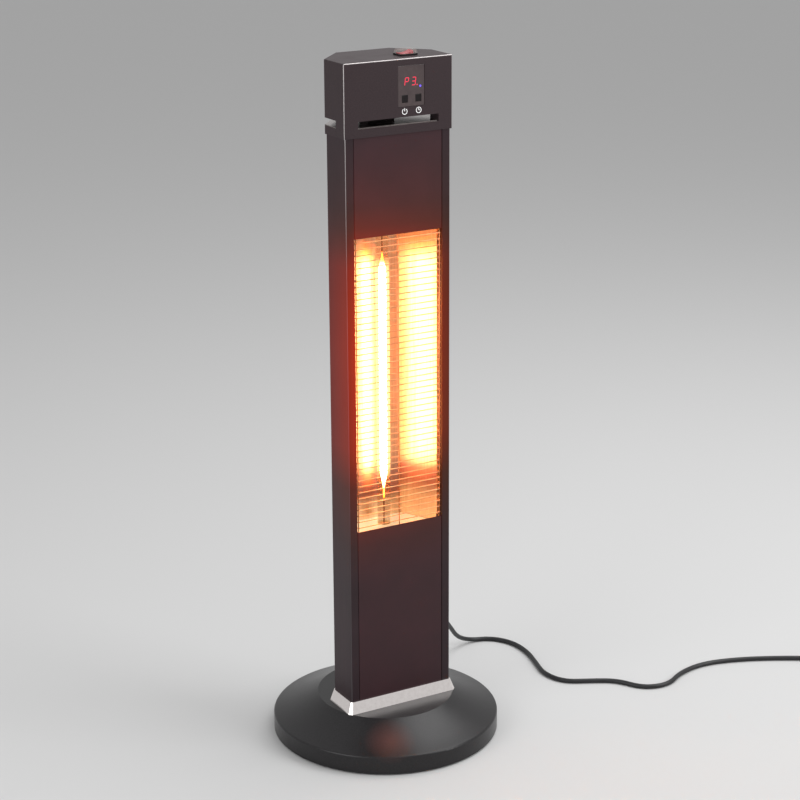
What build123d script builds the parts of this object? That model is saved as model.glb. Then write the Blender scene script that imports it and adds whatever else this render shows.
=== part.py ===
"""Infrared patio heater tower: weighted base, aluminium column with a guarded lamp, control head.

Millimetres, +Z up, front towards -Y. The origin is the centre of the base on the floor.
"""

import os
from math import cos, pi, radians, sin, tan

from build123d import *

# ---------------------------------------------------------------- driving dimensions

# base
BASE_RADIUS = 151.0
FEET_PROUD = 1.0
RIM_TOP_Z = 26.3
HUB_RADIUS = 91.0
HUB_Z = 52.0
COVER_WALL = 2.5
WEIGHT_RADIUS = 138.0
WEIGHT_TOP_Z = 13.5
PEDESTAL_RADIUS = 62.0

# plan outline of the head; the column is the same outline drawn in by COLUMN_INSET
HEAD_HALF_WIDTH = 76.6
FRONT_Y = -44.9
SIDE_BACK_Y = 5.0
BACK_Y = 46.3
BACK_HALF_WIDTH = 38.3
COLUMN_INSET = 1.9

# column
COLUMN_FOOT_Z = 56.0
HEAD_BOTTOM_Z = 817.0
COLUMN_WALL = 2.0
STRIP_INNER_X = 63.4
PANEL_HALF_WIDTH = 62.7
PANEL_SHEET = 1.5
SKIRT_TOP_Z = 67.0
SKIRT_FLARE = 6.6
WINDOW_BOTTOM_Z = 303.1
WINDOW_TOP_Z = 690.6

# lamp and reflector
REFLECTOR_SHEET = 1.0
CAVITY_FLOOR_Z = 292.0
TUBE_RADIUS = 9.0
ELEMENT_RADIUS = 6.2
GLOW_BOTTOM_Z = 345.0
GLOW_TOP_Z = 640.0
GUARD_PITCH = 8.0
GUARD_WIRE = 0.7

# head
HEAD_TOP_Z = 909.3
HEAD_WALL = 2.2
GAP_BOTTOM_Z = 828.0
GAP_TOP_Z = 837.4
SLOT_HALF_WIDTH = 57.0
POST_BACK_Y = -24.0

# controls on the head
PANEL_X = 18.0
PANEL_Z = 875.2
PANEL_WIDTH = 37.6
PANEL_HEIGHT = 50.8
BUTTON_XS = (9.0, 28.2)
BUTTON_Z = 859.7
BUTTON_TRAVEL = 0.8
SWITCH_X = 26.0
SWITCH_Y = -16.5
ROCKER_TILT = 9.0

# mains cord, which leaves through a gland in the middle of the right rear chamfer
CORD_DIAMETER = 6.5
GLAND_Z = 106.0
GLAND_LENGTH = 30.0

# ---------------------------------------------------------------- derived values

COLUMN_FRONT_Y = FRONT_Y + COLUMN_INSET
COLUMN_BACK_Y = BACK_Y - COLUMN_INSET
COLUMN_SIDE_X = HEAD_HALF_WIDTH - COLUMN_INSET
LAMP_MID_Z = (WINDOW_BOTTOM_Z + WINDOW_TOP_Z) / 2
chamfer_run = Vector(BACK_HALF_WIDTH - HEAD_HALF_WIDTH, BACK_Y - SIDE_BACK_Y, 0)
gland_out = Vector(chamfer_run.Y, -chamfer_run.X, 0).normalized()
chamfer_middle = Vector(HEAD_HALF_WIDTH, SIDE_BACK_Y, GLAND_Z) + chamfer_run * 0.5
gland_seat = chamfer_middle - gland_out * COLUMN_INSET

# how boxes, cones and cylinders stand on the point that they are placed by
STANDING = (Align.CENTER, Align.CENTER, Align.MIN)
HANGING = (Align.CENTER, Align.CENTER, Align.MAX)
BEHIND = (Align.CENTER, Align.MIN, Align.CENTER)

os.makedirs("parts", exist_ok=True)
pieces = []


def keep(piece, label):
    """Labels a finished piece and writes it."""
    piece.part.label = label
    pieces.append(piece.part)
    export_step(piece.part, f"parts/{label}.step")


def tower_plan(grow=0.0, front_radius=1.5, back_radius=1.5, front_cut=0.0):
    """Plan outline shared by head, column and skirt: flat front, short sides, rear chamfers."""
    with BuildSketch() as plan:
        with BuildLine():
            Polyline(
                (-HEAD_HALF_WIDTH, FRONT_Y),
                (HEAD_HALF_WIDTH, FRONT_Y),
                (HEAD_HALF_WIDTH, SIDE_BACK_Y),
                (BACK_HALF_WIDTH, BACK_Y),
                (-BACK_HALF_WIDTH, BACK_Y),
                (-HEAD_HALF_WIDTH, SIDE_BACK_Y),
                close=True,
            )
        make_face()
        if grow:
            offset(amount=grow, kind=Kind.INTERSECTION)
        corners = plan.vertices().group_by(Axis.Y)
        if front_cut:
            chamfer(corners[0], front_cut)
        else:
            fillet(corners[0], front_radius)
        fillet(corners[1] + corners[2], back_radius)
    return plan.sketch


# ================================================================ base

# Four bolts run from under the weight, through its pedestal and the hub, into the foot plate.
PEDESTAL_BOLTS = [(-38, -24), (38, -24), (-28, 27), (28, 27)]
BOLT_RADIUS = 4.0
BOLT_CLEARANCE = 0.1
BOLT_HEAD_RADIUS = 6.5
BOLT_HEAD_HEIGHT = 8.0
HEX_SOCKET_RADIUS = 3.4
HEX_SOCKET_DEPTH = 4.0
COUNTERBORE_DEPTH = 9.0
COUNTERBORE_RADIUS = BOLT_HEAD_RADIUS + 0.75

# The cover is one shell: rim, hollow cone and flat hub, open underneath.
CONE_SAG = 1.6
RIM_ROUND = 3.0
rim_centre = (BASE_RADIUS - RIM_ROUND, RIM_TOP_Z - RIM_ROUND + 0.1)
cone_mid = ((HUB_RADIUS + BASE_RADIUS - 2) / 2, (HUB_Z + RIM_TOP_Z) / 2 - CONE_SAG)
with BuildPart() as base_cover:
    with BuildSketch(Plane.XZ):
        with BuildLine():
            rim = CenterArc(rim_centre, RIM_ROUND, 0, 75)
            ThreePointArc(rim @ 1, cone_mid, (HUB_RADIUS, HUB_Z))
            Polyline(
                (HUB_RADIUS, HUB_Z),
                (0, HUB_Z),
                (0, HUB_Z - COVER_WALL),
                (HUB_RADIUS - 1, HUB_Z - COVER_WALL),
            )
            ThreePointArc(
                (HUB_RADIUS - 1, HUB_Z - COVER_WALL),
                (cone_mid[0] - 1, cone_mid[1] - COVER_WALL),
                (BASE_RADIUS - 5, RIM_TOP_Z - 1.6),
            )
            Polyline(
                (BASE_RADIUS - 5, RIM_TOP_Z - 1.6),
                (BASE_RADIUS - COVER_WALL, RIM_TOP_Z - 4),
                (BASE_RADIUS - COVER_WALL, FEET_PROUD),
                (BASE_RADIUS - 1.5, FEET_PROUD),
                (BASE_RADIUS, FEET_PROUD + 1.5),
                rim @ 0,
            )
        make_face()
    revolve(axis=Axis.Z)
    with BuildSketch(Plane.XY.offset(HUB_Z)):
        with Locations(*PEDESTAL_BOLTS):
            Circle(BOLT_RADIUS + BOLT_CLEARANCE)
    extrude(amount=-COVER_WALL, mode=Mode.SUBTRACT)
keep(base_cover, "base_cover")

# One iron casting: a disc with a raised pedestal under the hub.
WEIGHT_BOTTOM_Z = FEET_PROUD + PANEL_SHEET
WEIGHT_EDGE = 3.0
BLEND_WIDTH = 10.0
BLEND_HEIGHT = 8.0
PEDESTAL_DRAFT = 2.0
FOOT_SPOTS = PolarLocations(128, 6)
FOOT_RADIUS = 10.0
PLATE_SCREWS = PolarLocations(105, 6, start_angle=30)
PLATE_SCREW_RADIUS = 2.0
PLATE_SCREW_LENGTH = 8.5
PLATE_SCREW_CLEARANCE = 0.05
with BuildPart() as base_weight:
    with BuildSketch(Plane.XZ):
        with BuildLine():
            Polyline(
                (0, WEIGHT_BOTTOM_Z),
                (WEIGHT_RADIUS, WEIGHT_BOTTOM_Z),
                (WEIGHT_RADIUS, WEIGHT_TOP_Z - WEIGHT_EDGE),
                (WEIGHT_RADIUS - WEIGHT_EDGE, WEIGHT_TOP_Z),
                (PEDESTAL_RADIUS + BLEND_WIDTH, WEIGHT_TOP_Z),
            )
            ThreePointArc(
                (PEDESTAL_RADIUS + BLEND_WIDTH, WEIGHT_TOP_Z),
                (PEDESTAL_RADIUS + 0.45 * BLEND_WIDTH, WEIGHT_TOP_Z + 0.33 * BLEND_HEIGHT),
                (PEDESTAL_RADIUS + PEDESTAL_DRAFT, WEIGHT_TOP_Z + BLEND_HEIGHT),
            )
            Polyline(
                (PEDESTAL_RADIUS + PEDESTAL_DRAFT, WEIGHT_TOP_Z + BLEND_HEIGHT),
                (PEDESTAL_RADIUS, HUB_Z - COVER_WALL),
                (0, HUB_Z - COVER_WALL),
                (0, WEIGHT_BOTTOM_Z),
            )
        make_face()
    revolve(axis=Axis.Z)
    with BuildSketch(Plane.XY.offset(WEIGHT_BOTTOM_Z)):
        with Locations(*PEDESTAL_BOLTS):
            Circle(BOLT_RADIUS + BOLT_CLEARANCE)
    extrude(amount=HUB_Z, mode=Mode.SUBTRACT)
    with BuildSketch(Plane.XY.offset(WEIGHT_BOTTOM_Z)):
        with Locations(*PEDESTAL_BOLTS):
            Circle(COUNTERBORE_RADIUS)
    extrude(amount=COUNTERBORE_DEPTH, mode=Mode.SUBTRACT)
    with BuildSketch(Plane.XY.offset(WEIGHT_BOTTOM_Z)):
        with PLATE_SCREWS:
            Circle(PLATE_SCREW_RADIUS + PLATE_SCREW_CLEARANCE)
    extrude(amount=PLATE_SCREW_LENGTH + 0.5, mode=Mode.SUBTRACT)
keep(base_weight, "base_weight")

with BuildPart() as base_plate:
    with BuildSketch(Plane.XY.offset(FEET_PROUD)):
        Circle(BASE_RADIUS - COVER_WALL - 0.2)
        with FOOT_SPOTS:
            Circle(FOOT_RADIUS + 0.3, mode=Mode.SUBTRACT)
        with PLATE_SCREWS:
            Circle(PLATE_SCREW_RADIUS + PLATE_SCREW_CLEARANCE, mode=Mode.SUBTRACT)
    extrude(amount=PANEL_SHEET)
keep(base_plate, "base_plate")

with BuildPart() as rubber_feet:
    with BuildSketch():
        with FOOT_SPOTS:
            Circle(FOOT_RADIUS)
    extrude(amount=WEIGHT_BOTTOM_Z)
    chamfer(rubber_feet.faces().sort_by(Axis.Z)[:6].edges(), 0.4)
keep(rubber_feet, "rubber_feet")

# Low pan heads, kept above the floor by the thickness of the feet.
PAN_HEAD_BOTTOM_Z = 0.3
with BuildPart() as base_screws:
    with BuildSketch(Plane.XY.offset(FEET_PROUD)):
        with PLATE_SCREWS:
            Circle(PLATE_SCREW_RADIUS)
    extrude(amount=PLATE_SCREW_LENGTH)
    with BuildSketch(Plane.XY.offset(PAN_HEAD_BOTTOM_Z)):
        with PLATE_SCREWS:
            Circle(1.8 * PLATE_SCREW_RADIUS)
    extrude(amount=FEET_PROUD - PAN_HEAD_BOTTOM_Z)
keep(base_screws, "base_screws")

BOLT_SEAT_Z = WEIGHT_BOTTOM_Z + COUNTERBORE_DEPTH
with BuildPart() as pedestal_bolts:
    with BuildSketch(Plane.XY.offset(BOLT_SEAT_Z)):
        with Locations(*PEDESTAL_BOLTS):
            Circle(BOLT_RADIUS)
    extrude(amount=COLUMN_FOOT_Z - BOLT_SEAT_Z)
    with BuildSketch(Plane.XY.offset(BOLT_SEAT_Z - BOLT_HEAD_HEIGHT)):
        with Locations(*PEDESTAL_BOLTS):
            Circle(BOLT_HEAD_RADIUS)
            RegularPolygon(HEX_SOCKET_RADIUS, 6, mode=Mode.SUBTRACT)
    extrude(amount=HEX_SOCKET_DEPTH)
    with BuildSketch(Plane.XY.offset(BOLT_SEAT_Z - BOLT_HEAD_HEIGHT + HEX_SOCKET_DEPTH)):
        with Locations(*PEDESTAL_BOLTS):
            Circle(BOLT_HEAD_RADIUS)
    extrude(amount=BOLT_HEAD_HEIGHT - HEX_SOCKET_DEPTH)
keep(pedestal_bolts, "pedestal_bolts")

# ================================================================ column

# Screws run up into round ports that are part of the extrusion.
SIDE_PORT_X = COLUMN_SIDE_X - COLUMN_WALL - 3.7
BACK_PORT_Y = COLUMN_BACK_Y - COLUMN_WALL - 3.7
SCREW_PORTS = [(-SIDE_PORT_X, -8), (SIDE_PORT_X, -8), (-30, BACK_PORT_Y), (30, BACK_PORT_Y)]
PORT_RADIUS = 4.3
PORT_SCREW_RADIUS = 2.0
COUNTERSINK_RADIUS = 4.0
RETURN_WALL = 1.8
RETURN_BACK_Y = -33.2

with BuildPart() as foot_plate:
    with BuildSketch(Plane.XY.offset(HUB_Z)):
        add(tower_plan(-COLUMN_INSET))
        with Locations(*PEDESTAL_BOLTS):
            Circle(BOLT_RADIUS + 0.02, mode=Mode.SUBTRACT)
        with Locations(*SCREW_PORTS):
            Circle(PORT_SCREW_RADIUS + 0.2, mode=Mode.SUBTRACT)
    extrude(amount=COLUMN_FOOT_Z - HUB_Z)
    with Locations(*[(x, y, HUB_Z) for x, y in SCREW_PORTS]):
        Cone(COUNTERSINK_RADIUS + 0.2, PORT_SCREW_RADIUS + 0.2, 2.2, align=STANDING, mode=Mode.SUBTRACT)
keep(foot_plate, "foot_plate")

with BuildPart() as foot_plate_screws:
    with Locations(*[(x, y, HUB_Z) for x, y in SCREW_PORTS]):
        Cone(COUNTERSINK_RADIUS, PORT_SCREW_RADIUS, 2.0, align=STANDING)
        Cylinder(PORT_SCREW_RADIUS, 16, align=STANDING)
keep(foot_plate_screws, "foot_plate_screws")

# A thin flared collar that hides the joint between column and hub. A narrow facet widens down each
# of its front corners.
SKIRT_SHEET = 1.2
SKIRT_CLEARANCE = 0.1
with BuildPart() as chrome_skirt:
    with BuildSketch(Plane.XY.offset(HUB_Z)):
        add(tower_plan(SKIRT_FLARE - COLUMN_INSET, back_radius=2.5, front_cut=4.0))
    with BuildSketch(Plane.XY.offset(SKIRT_TOP_Z)):
        add(tower_plan(SKIRT_CLEARANCE + SKIRT_SHEET - COLUMN_INSET, back_radius=2.5, front_cut=1.8))
    loft()
    with BuildSketch(Plane.XY.offset(HUB_Z - 0.001)):
        add(tower_plan(SKIRT_FLARE - SKIRT_SHEET - COLUMN_INSET, front_cut=3.4))
    with BuildSketch(Plane.XY.offset(SKIRT_TOP_Z + 0.001)):
        add(tower_plan(SKIRT_CLEARANCE - COLUMN_INSET, front_cut=0.9))
    loft(mode=Mode.SUBTRACT)
keep(chrome_skirt, "chrome_skirt")

with BuildPart() as column_extrusion:
    with BuildSketch(Plane.XY.offset(COLUMN_FOOT_Z)) as section:
        add(tower_plan(-COLUMN_INSET))
        add(tower_plan(-COLUMN_INSET - COLUMN_WALL, 0.8, 0.8), mode=Mode.SUBTRACT)
        with Locations((0, COLUMN_FRONT_Y)):
            Rectangle(2 * STRIP_INNER_X, 3 * COLUMN_WALL, mode=Mode.SUBTRACT)
        with Locations(*SCREW_PORTS):
            Circle(PORT_RADIUS)
        for side in (-1, 1):
            with Locations((side * (STRIP_INNER_X + RETURN_WALL / 2), COLUMN_FRONT_Y)):
                Rectangle(RETURN_WALL, RETURN_BACK_Y - COLUMN_FRONT_Y, align=(Align.CENTER, Align.MIN))
        with Locations(*SCREW_PORTS):
            Circle(PORT_SCREW_RADIUS, mode=Mode.SUBTRACT)
    extrude(amount=HEAD_BOTTOM_Z - COLUMN_FOOT_Z)
    with BuildSketch(Plane(origin=gland_seat + gland_out, x_dir=(0, 0, 1), z_dir=gland_out)):
        Circle(6.0)
    extrude(amount=-COLUMN_WALL - 2, mode=Mode.SUBTRACT)
keep(column_extrusion, "column_extrusion")

# Front panels are shallow trays whose feet slide behind the return walls of the column.
PANEL_FOOT_X = 69.0
PANEL_FOOT_Y = RETURN_BACK_Y + 0.3


def front_panel(bottom_z, top_z):
    """Folded sheet panel with side legs and outward feet."""
    with BuildPart() as panel:
        with BuildSketch(Plane.XY.offset(bottom_z)):
            with BuildLine():
                Polyline(
                    (-PANEL_FOOT_X, PANEL_FOOT_Y + PANEL_SHEET),
                    (-PANEL_FOOT_X, PANEL_FOOT_Y),
                    (-PANEL_HALF_WIDTH, PANEL_FOOT_Y),
                    (-PANEL_HALF_WIDTH, COLUMN_FRONT_Y),
                    (PANEL_HALF_WIDTH, COLUMN_FRONT_Y),
                    (PANEL_HALF_WIDTH, PANEL_FOOT_Y),
                    (PANEL_FOOT_X, PANEL_FOOT_Y),
                    (PANEL_FOOT_X, PANEL_FOOT_Y + PANEL_SHEET),
                    (PANEL_HALF_WIDTH - PANEL_SHEET, PANEL_FOOT_Y + PANEL_SHEET),
                    (PANEL_HALF_WIDTH - PANEL_SHEET, COLUMN_FRONT_Y + PANEL_SHEET),
                    (-PANEL_HALF_WIDTH + PANEL_SHEET, COLUMN_FRONT_Y + PANEL_SHEET),
                    (-PANEL_HALF_WIDTH + PANEL_SHEET, PANEL_FOOT_Y + PANEL_SHEET),
                    close=True,
                )
            make_face()
        extrude(amount=top_z - bottom_z)
        front_edges = panel.edges().filter_by(Axis.Z).group_by(Axis.Y)[0]
        fillet(front_edges, 0.8)
    return panel


keep(front_panel(COLUMN_FOOT_Z, WINDOW_BOTTOM_Z), "lower_front_panel")
keep(front_panel(WINDOW_TOP_Z, HEAD_BOTTOM_Z), "upper_front_panel")

# ================================================================ reflector and lamp

# Half profile of the space in front of the polished sheets: three folds from the window to the back.
REFLECTOR_BACK_Y = 22.0
TROUGH = [(62.3, -31.9), (56.0, -15.0), (47.0, 4.0), (37.0, REFLECTOR_BACK_Y)]
REFLECTOR_BACK_X = 40.0
REFLECTOR_BOTTOM_Z = CAVITY_FLOOR_Z - 2
REFLECTOR_TOP_Z = 2 * LAMP_MID_Z - REFLECTOR_BOTTOM_Z
CAVITY_CEILING_Z = 2 * LAMP_MID_Z - CAVITY_FLOOR_Z
BEYOND = 100.0


def trough_plan(grow=0.0):
    """The space inside the reflector, seen from above."""
    right = TROUGH
    left = [(-x, y) for x, y in reversed(TROUGH)]
    with BuildSketch() as plan:
        with BuildLine():
            Polyline(*right, *left, close=True)
        make_face()
        if grow:
            offset(amount=grow, kind=Kind.INTERSECTION)
    return plan.sketch


with BuildPart() as reflector:
    with Locations((0, REFLECTOR_BACK_Y, REFLECTOR_BOTTOM_Z)):
        Box(
            2 * REFLECTOR_BACK_X,
            REFLECTOR_SHEET,
            REFLECTOR_TOP_Z - REFLECTOR_BOTTOM_Z,
            align=(Align.CENTER, Align.MIN, Align.MIN),
        )
keep(reflector, "reflector")

# Two folded wings butt on the flat back and open towards the window.
MOUTH_X, MOUTH_Y = TROUGH[0]
with BuildPart() as reflector_wings:
    with BuildSketch(Plane.XY.offset(REFLECTOR_BOTTOM_Z)):
        add(trough_plan(REFLECTOR_SHEET))
        with Locations((0, MOUTH_Y)):
            Rectangle(2 * BEYOND, BEYOND, align=(Align.CENTER, Align.MAX), mode=Mode.SUBTRACT)
        with Locations((0, REFLECTOR_BACK_Y)):
            Rectangle(2 * BEYOND, BEYOND, align=(Align.CENTER, Align.MIN), mode=Mode.SUBTRACT)
        add(trough_plan(), mode=Mode.SUBTRACT)
    extrude(amount=REFLECTOR_TOP_Z - REFLECTOR_BOTTOM_Z)
    # flanges beside the window, clamped between the guard and the column
    for side in (-1, 1):
        with Locations((side * MOUTH_X, MOUTH_Y, LAMP_MID_Z)):
            Box(
                PANEL_FOOT_X - MOUTH_X,
                REFLECTOR_SHEET,
                WINDOW_TOP_Z - WINDOW_BOTTOM_Z - 0.6,
                align=(Align.MIN if side > 0 else Align.MAX, Align.MAX, Align.CENTER),
            )
    # above and below the window the mouth stops short of the feet of the front panels
    for z_low, z_high in (
        (REFLECTOR_BOTTOM_Z, WINDOW_BOTTOM_Z + 0.3),
        (WINDOW_TOP_Z - 0.3, REFLECTOR_TOP_Z),
    ):
        with BuildSketch(Plane.XY.offset(z_low)):
            with Locations((0, PANEL_FOOT_Y + PANEL_SHEET + 0.5)):
                Rectangle(2 * BEYOND, 12, align=(Align.CENTER, Align.MAX))
        extrude(amount=z_high - z_low, mode=Mode.SUBTRACT)
keep(reflector_wings, "reflector_wings")


def cavity_end(z_low):
    """Flat plate that closes the reflector, with a hole for the lamp."""
    inset = 1.0
    with BuildPart() as plate:
        with BuildSketch(Plane.XY.offset(z_low)):
            add(trough_plan(-inset))
            with Locations((0, REFLECTOR_BACK_Y)):
                Rectangle(60, 4, align=(Align.CENTER, Align.MAX))
            with Locations((0, COLUMN_FRONT_Y + PANEL_SHEET)):
                Rectangle(2 * (PANEL_HALF_WIDTH - PANEL_SHEET) - 1, 14, align=(Align.CENTER, Align.MIN))
            Circle(TUBE_RADIUS + 0.5, mode=Mode.SUBTRACT)
        extrude(amount=REFLECTOR_SHEET)
    return plate


keep(cavity_end(CAVITY_FLOOR_Z - REFLECTOR_SHEET), "reflector_floor")
keep(cavity_end(CAVITY_CEILING_Z), "reflector_ceiling")

# A closed quartz tube with its pinched ends inside the ceramic caps.
TUBE_WALL = 1.2
CAP_RADIUS = 12.0
CAP_MOUTH_Z = REFLECTOR_BOTTOM_Z - 0.2
CAP_BOTTOM_Z = CAP_MOUTH_Z - 20
TUBE_BOTTOM_Z = CAP_MOUTH_Z - 9
TUBE_TOP_Z = 2 * LAMP_MID_Z - TUBE_BOTTOM_Z
LEAD_RADIUS = 2.0

with BuildPart() as lamp_tube:
    with BuildSketch(Plane.XZ):
        with BuildLine():
            Polyline(
                (0.9, TUBE_BOTTOM_Z),
                (TUBE_RADIUS - 2, TUBE_BOTTOM_Z),
                (TUBE_RADIUS, TUBE_BOTTOM_Z + 2),
                (TUBE_RADIUS, TUBE_TOP_Z - 2),
                (TUBE_RADIUS - 2, TUBE_TOP_Z),
                (0.9, TUBE_TOP_Z),
                (0.9, TUBE_TOP_Z - 2),
                (TUBE_RADIUS - TUBE_WALL - 1.5, TUBE_TOP_Z - 2),
                (TUBE_RADIUS - TUBE_WALL, TUBE_TOP_Z - 4),
                (TUBE_RADIUS - TUBE_WALL, TUBE_BOTTOM_Z + 4),
                (TUBE_RADIUS - TUBE_WALL - 1.5, TUBE_BOTTOM_Z + 2),
                (0.9, TUBE_BOTTOM_Z + 2),
                close=True,
            )
        make_face()
    revolve(axis=Axis.Z)
keep(lamp_tube, "lamp_tube")

# The element tapers at both ends into its lead rods.
TAPER = 12.0
with BuildPart() as heating_element:
    with BuildSketch(Plane.XZ):
        with BuildLine():
            Polyline((0, TUBE_BOTTOM_Z), (0.9, TUBE_BOTTOM_Z), (0.9, GLOW_BOTTOM_Z - TAPER))
            Spline(
                (0.9, GLOW_BOTTOM_Z - TAPER),
                (ELEMENT_RADIUS * 0.55, GLOW_BOTTOM_Z - TAPER * 0.6),
                (ELEMENT_RADIUS, GLOW_BOTTOM_Z),
                tangents=((0.4, 1), (0, 1)),
            )
            Line((ELEMENT_RADIUS, GLOW_BOTTOM_Z), (ELEMENT_RADIUS, GLOW_TOP_Z))
            Spline(
                (ELEMENT_RADIUS, GLOW_TOP_Z),
                (ELEMENT_RADIUS * 0.55, GLOW_TOP_Z + TAPER * 0.6),
                (0.9, GLOW_TOP_Z + TAPER),
                tangents=((0, 1), (-0.4, 1)),
            )
            Polyline((0.9, GLOW_TOP_Z + TAPER), (0.9, TUBE_TOP_Z), (0, TUBE_TOP_Z), (0, TUBE_BOTTOM_Z))
        make_face()
    revolve(axis=Axis.Z)
keep(heating_element, "heating_element")

# Ceramic cap with a waist that a sheet bracket grips.
WAIST_Z = CAP_BOTTOM_Z + 7
BRACKET_SHEET = 1.2
with BuildPart() as lower_lamp_cap:
    with BuildSketch(Plane.XZ):
        with BuildLine():
            Polyline(
                (0, CAP_BOTTOM_Z),
                (CAP_RADIUS - 1, CAP_BOTTOM_Z),
                (CAP_RADIUS, CAP_BOTTOM_Z + 1),
                (CAP_RADIUS, WAIST_Z),
                (CAP_RADIUS - 2, WAIST_Z),
                (CAP_RADIUS - 2, WAIST_Z + BRACKET_SHEET),
                (CAP_RADIUS, WAIST_Z + BRACKET_SHEET),
                (CAP_RADIUS, CAP_MOUTH_Z),
                (TUBE_RADIUS + 0.1, CAP_MOUTH_Z),
                (TUBE_RADIUS + 0.1, TUBE_BOTTOM_Z),
                (0, TUBE_BOTTOM_Z),
                close=True,
            )
        make_face()
    revolve(axis=Axis.Z)
keep(lower_lamp_cap, "lower_lamp_cap")

BRACKET_HALF_WIDTH = 15.0
REFLECTOR_REAR_Y = REFLECTOR_BACK_Y + REFLECTOR_SHEET
with BuildPart() as lower_lamp_bracket:
    with BuildSketch(Plane.XY.offset(WAIST_Z)):
        Circle(BRACKET_HALF_WIDTH)
        Rectangle(2 * BRACKET_HALF_WIDTH, REFLECTOR_REAR_Y + BRACKET_SHEET, align=(Align.CENTER, Align.MIN))
        Circle(CAP_RADIUS - 2, mode=Mode.SUBTRACT)
    extrude(amount=BRACKET_SHEET)
    with Locations((0, REFLECTOR_REAR_Y, WAIST_Z)):
        Box(2 * BRACKET_HALF_WIDTH, BRACKET_SHEET, 34, align=(Align.CENTER, Align.MIN, Align.MIN))
keep(lower_lamp_bracket, "lower_lamp_bracket")

lamp_middle = Plane.XY.offset(LAMP_MID_Z)
with BuildPart() as upper_lamp_cap:
    mirror(lower_lamp_cap.part, about=lamp_middle)
keep(upper_lamp_cap, "upper_lamp_cap")

with BuildPart() as upper_lamp_bracket:
    mirror(lower_lamp_bracket.part, about=lamp_middle)
keep(upper_lamp_bracket, "upper_lamp_bracket")

# Sheet shield behind the reflector: flat back, two wings, and lips that reach the column's sides.
SHIELD = [(62.0, -2.0), (38.0, 32.0)]
SHIELD_BOTTOM_Z = 250.0
SHIELD_TOP_Z = 745.0
SHIELD_LIP_Y = -8 + PORT_RADIUS + 0.4


def shield_plan(mouth_y):
    """The space that the shield goes round, seen from above."""
    (wing_x, wing_y), (back_x, back_y) = SHIELD
    with BuildSketch() as plan:
        with BuildLine():
            Polyline(
                (wing_x, mouth_y),
                (wing_x, wing_y),
                (back_x, back_y),
                (-back_x, back_y),
                (-wing_x, wing_y),
                (-wing_x, mouth_y),
                close=True,
            )
        make_face()
    return plan.sketch


with BuildPart() as heat_shield:
    with BuildSketch(Plane.XY.offset(SHIELD_BOTTOM_Z)):
        add(shield_plan(SHIELD_LIP_Y + REFLECTOR_SHEET))
        offset(amount=REFLECTOR_SHEET, kind=Kind.INTERSECTION)
        add(shield_plan(SHIELD_LIP_Y - 5), mode=Mode.SUBTRACT)
        for side in (-1, 1):
            with Locations((side * SHIELD[0][0], SHIELD_LIP_Y)):
                Rectangle(
                    COLUMN_SIDE_X - COLUMN_WALL - SHIELD[0][0],
                    REFLECTOR_SHEET,
                    align=(Align.MIN if side > 0 else Align.MAX, Align.MIN),
                )
    extrude(amount=SHIELD_TOP_Z - SHIELD_BOTTOM_Z)
keep(heat_shield, "heat_shield")

# Disc thermostat on the back of the shield.
CUTOUT_X = -14.0
CUTOUT_Z = 560.0
CUTOUT_DISC_RADIUS = 8.0
CUTOUT_HEIGHT = 5.0
CUTOUT_TAB_WIDTH = 22.0
SHIELD_REAR_Y = SHIELD[1][1] + REFLECTOR_SHEET
with BuildPart() as thermal_cutout:
    with BuildSketch(Plane(origin=(CUTOUT_X, SHIELD_REAR_Y, CUTOUT_Z), x_dir=(1, 0, 0), z_dir=(0, 1, 0))):
        Circle(CUTOUT_DISC_RADIUS)
    extrude(amount=CUTOUT_HEIGHT)
    with Locations((CUTOUT_X, SHIELD_REAR_Y, CUTOUT_Z)):
        Box(CUTOUT_TAB_WIDTH, 0.8, CUTOUT_DISC_RADIUS, align=BEHIND)
    for side in (-1, 1):
        with Locations((CUTOUT_X + 4 * side, SHIELD_REAR_Y + CUTOUT_HEIGHT, CUTOUT_Z)):
            Box(0.8, 3.5, 5, align=BEHIND)
keep(thermal_cutout, "thermal_cutout")

# ---------------------------------------------------------------- guard grille

# Straight wires across the window, carried by a frame: at each side a comb of short wires that runs
# back between two uprights, and one upright in the middle. All rods are hexagonal, flats touching.
GUARD_FRONT_Y = COLUMN_FRONT_Y + 1.0
GUARD_SIDE_X = 61.5
GUARD_BACK_Y = PANEL_FOOT_Y - GUARD_WIRE
GUARD_TOUCH = 0.005
UPRIGHT_RADIUS = GUARD_WIRE + 0.05
guard_flat = GUARD_WIRE * cos(pi / 6)
upright_flat = UPRIGHT_RADIUS * cos(pi / 6)
upright_y = GUARD_FRONT_Y + guard_flat + upright_flat + GUARD_TOUCH
guard_span = WINDOW_TOP_Z - WINDOW_BOTTOM_Z
GUARD_COUNT = int(guard_span // GUARD_PITCH)
guard_first_z = WINDOW_BOTTOM_Z + (guard_span - (GUARD_COUNT - 1) * GUARD_PITCH) / 2
wire_heights = [guard_first_z + k * GUARD_PITCH for k in range(GUARD_COUNT)]
wire_reach = GUARD_SIDE_X - guard_flat - GUARD_TOUCH

with BuildPart() as guard_grille:
    with BuildSketch(Plane.YZ.offset(-wire_reach)):
        with Locations(*[(GUARD_FRONT_Y, z) for z in wire_heights]):
            RegularPolygon(GUARD_WIRE, 6, rotation=30)
    extrude(amount=2 * wire_reach)
keep(guard_grille, "guard_grille")

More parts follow.
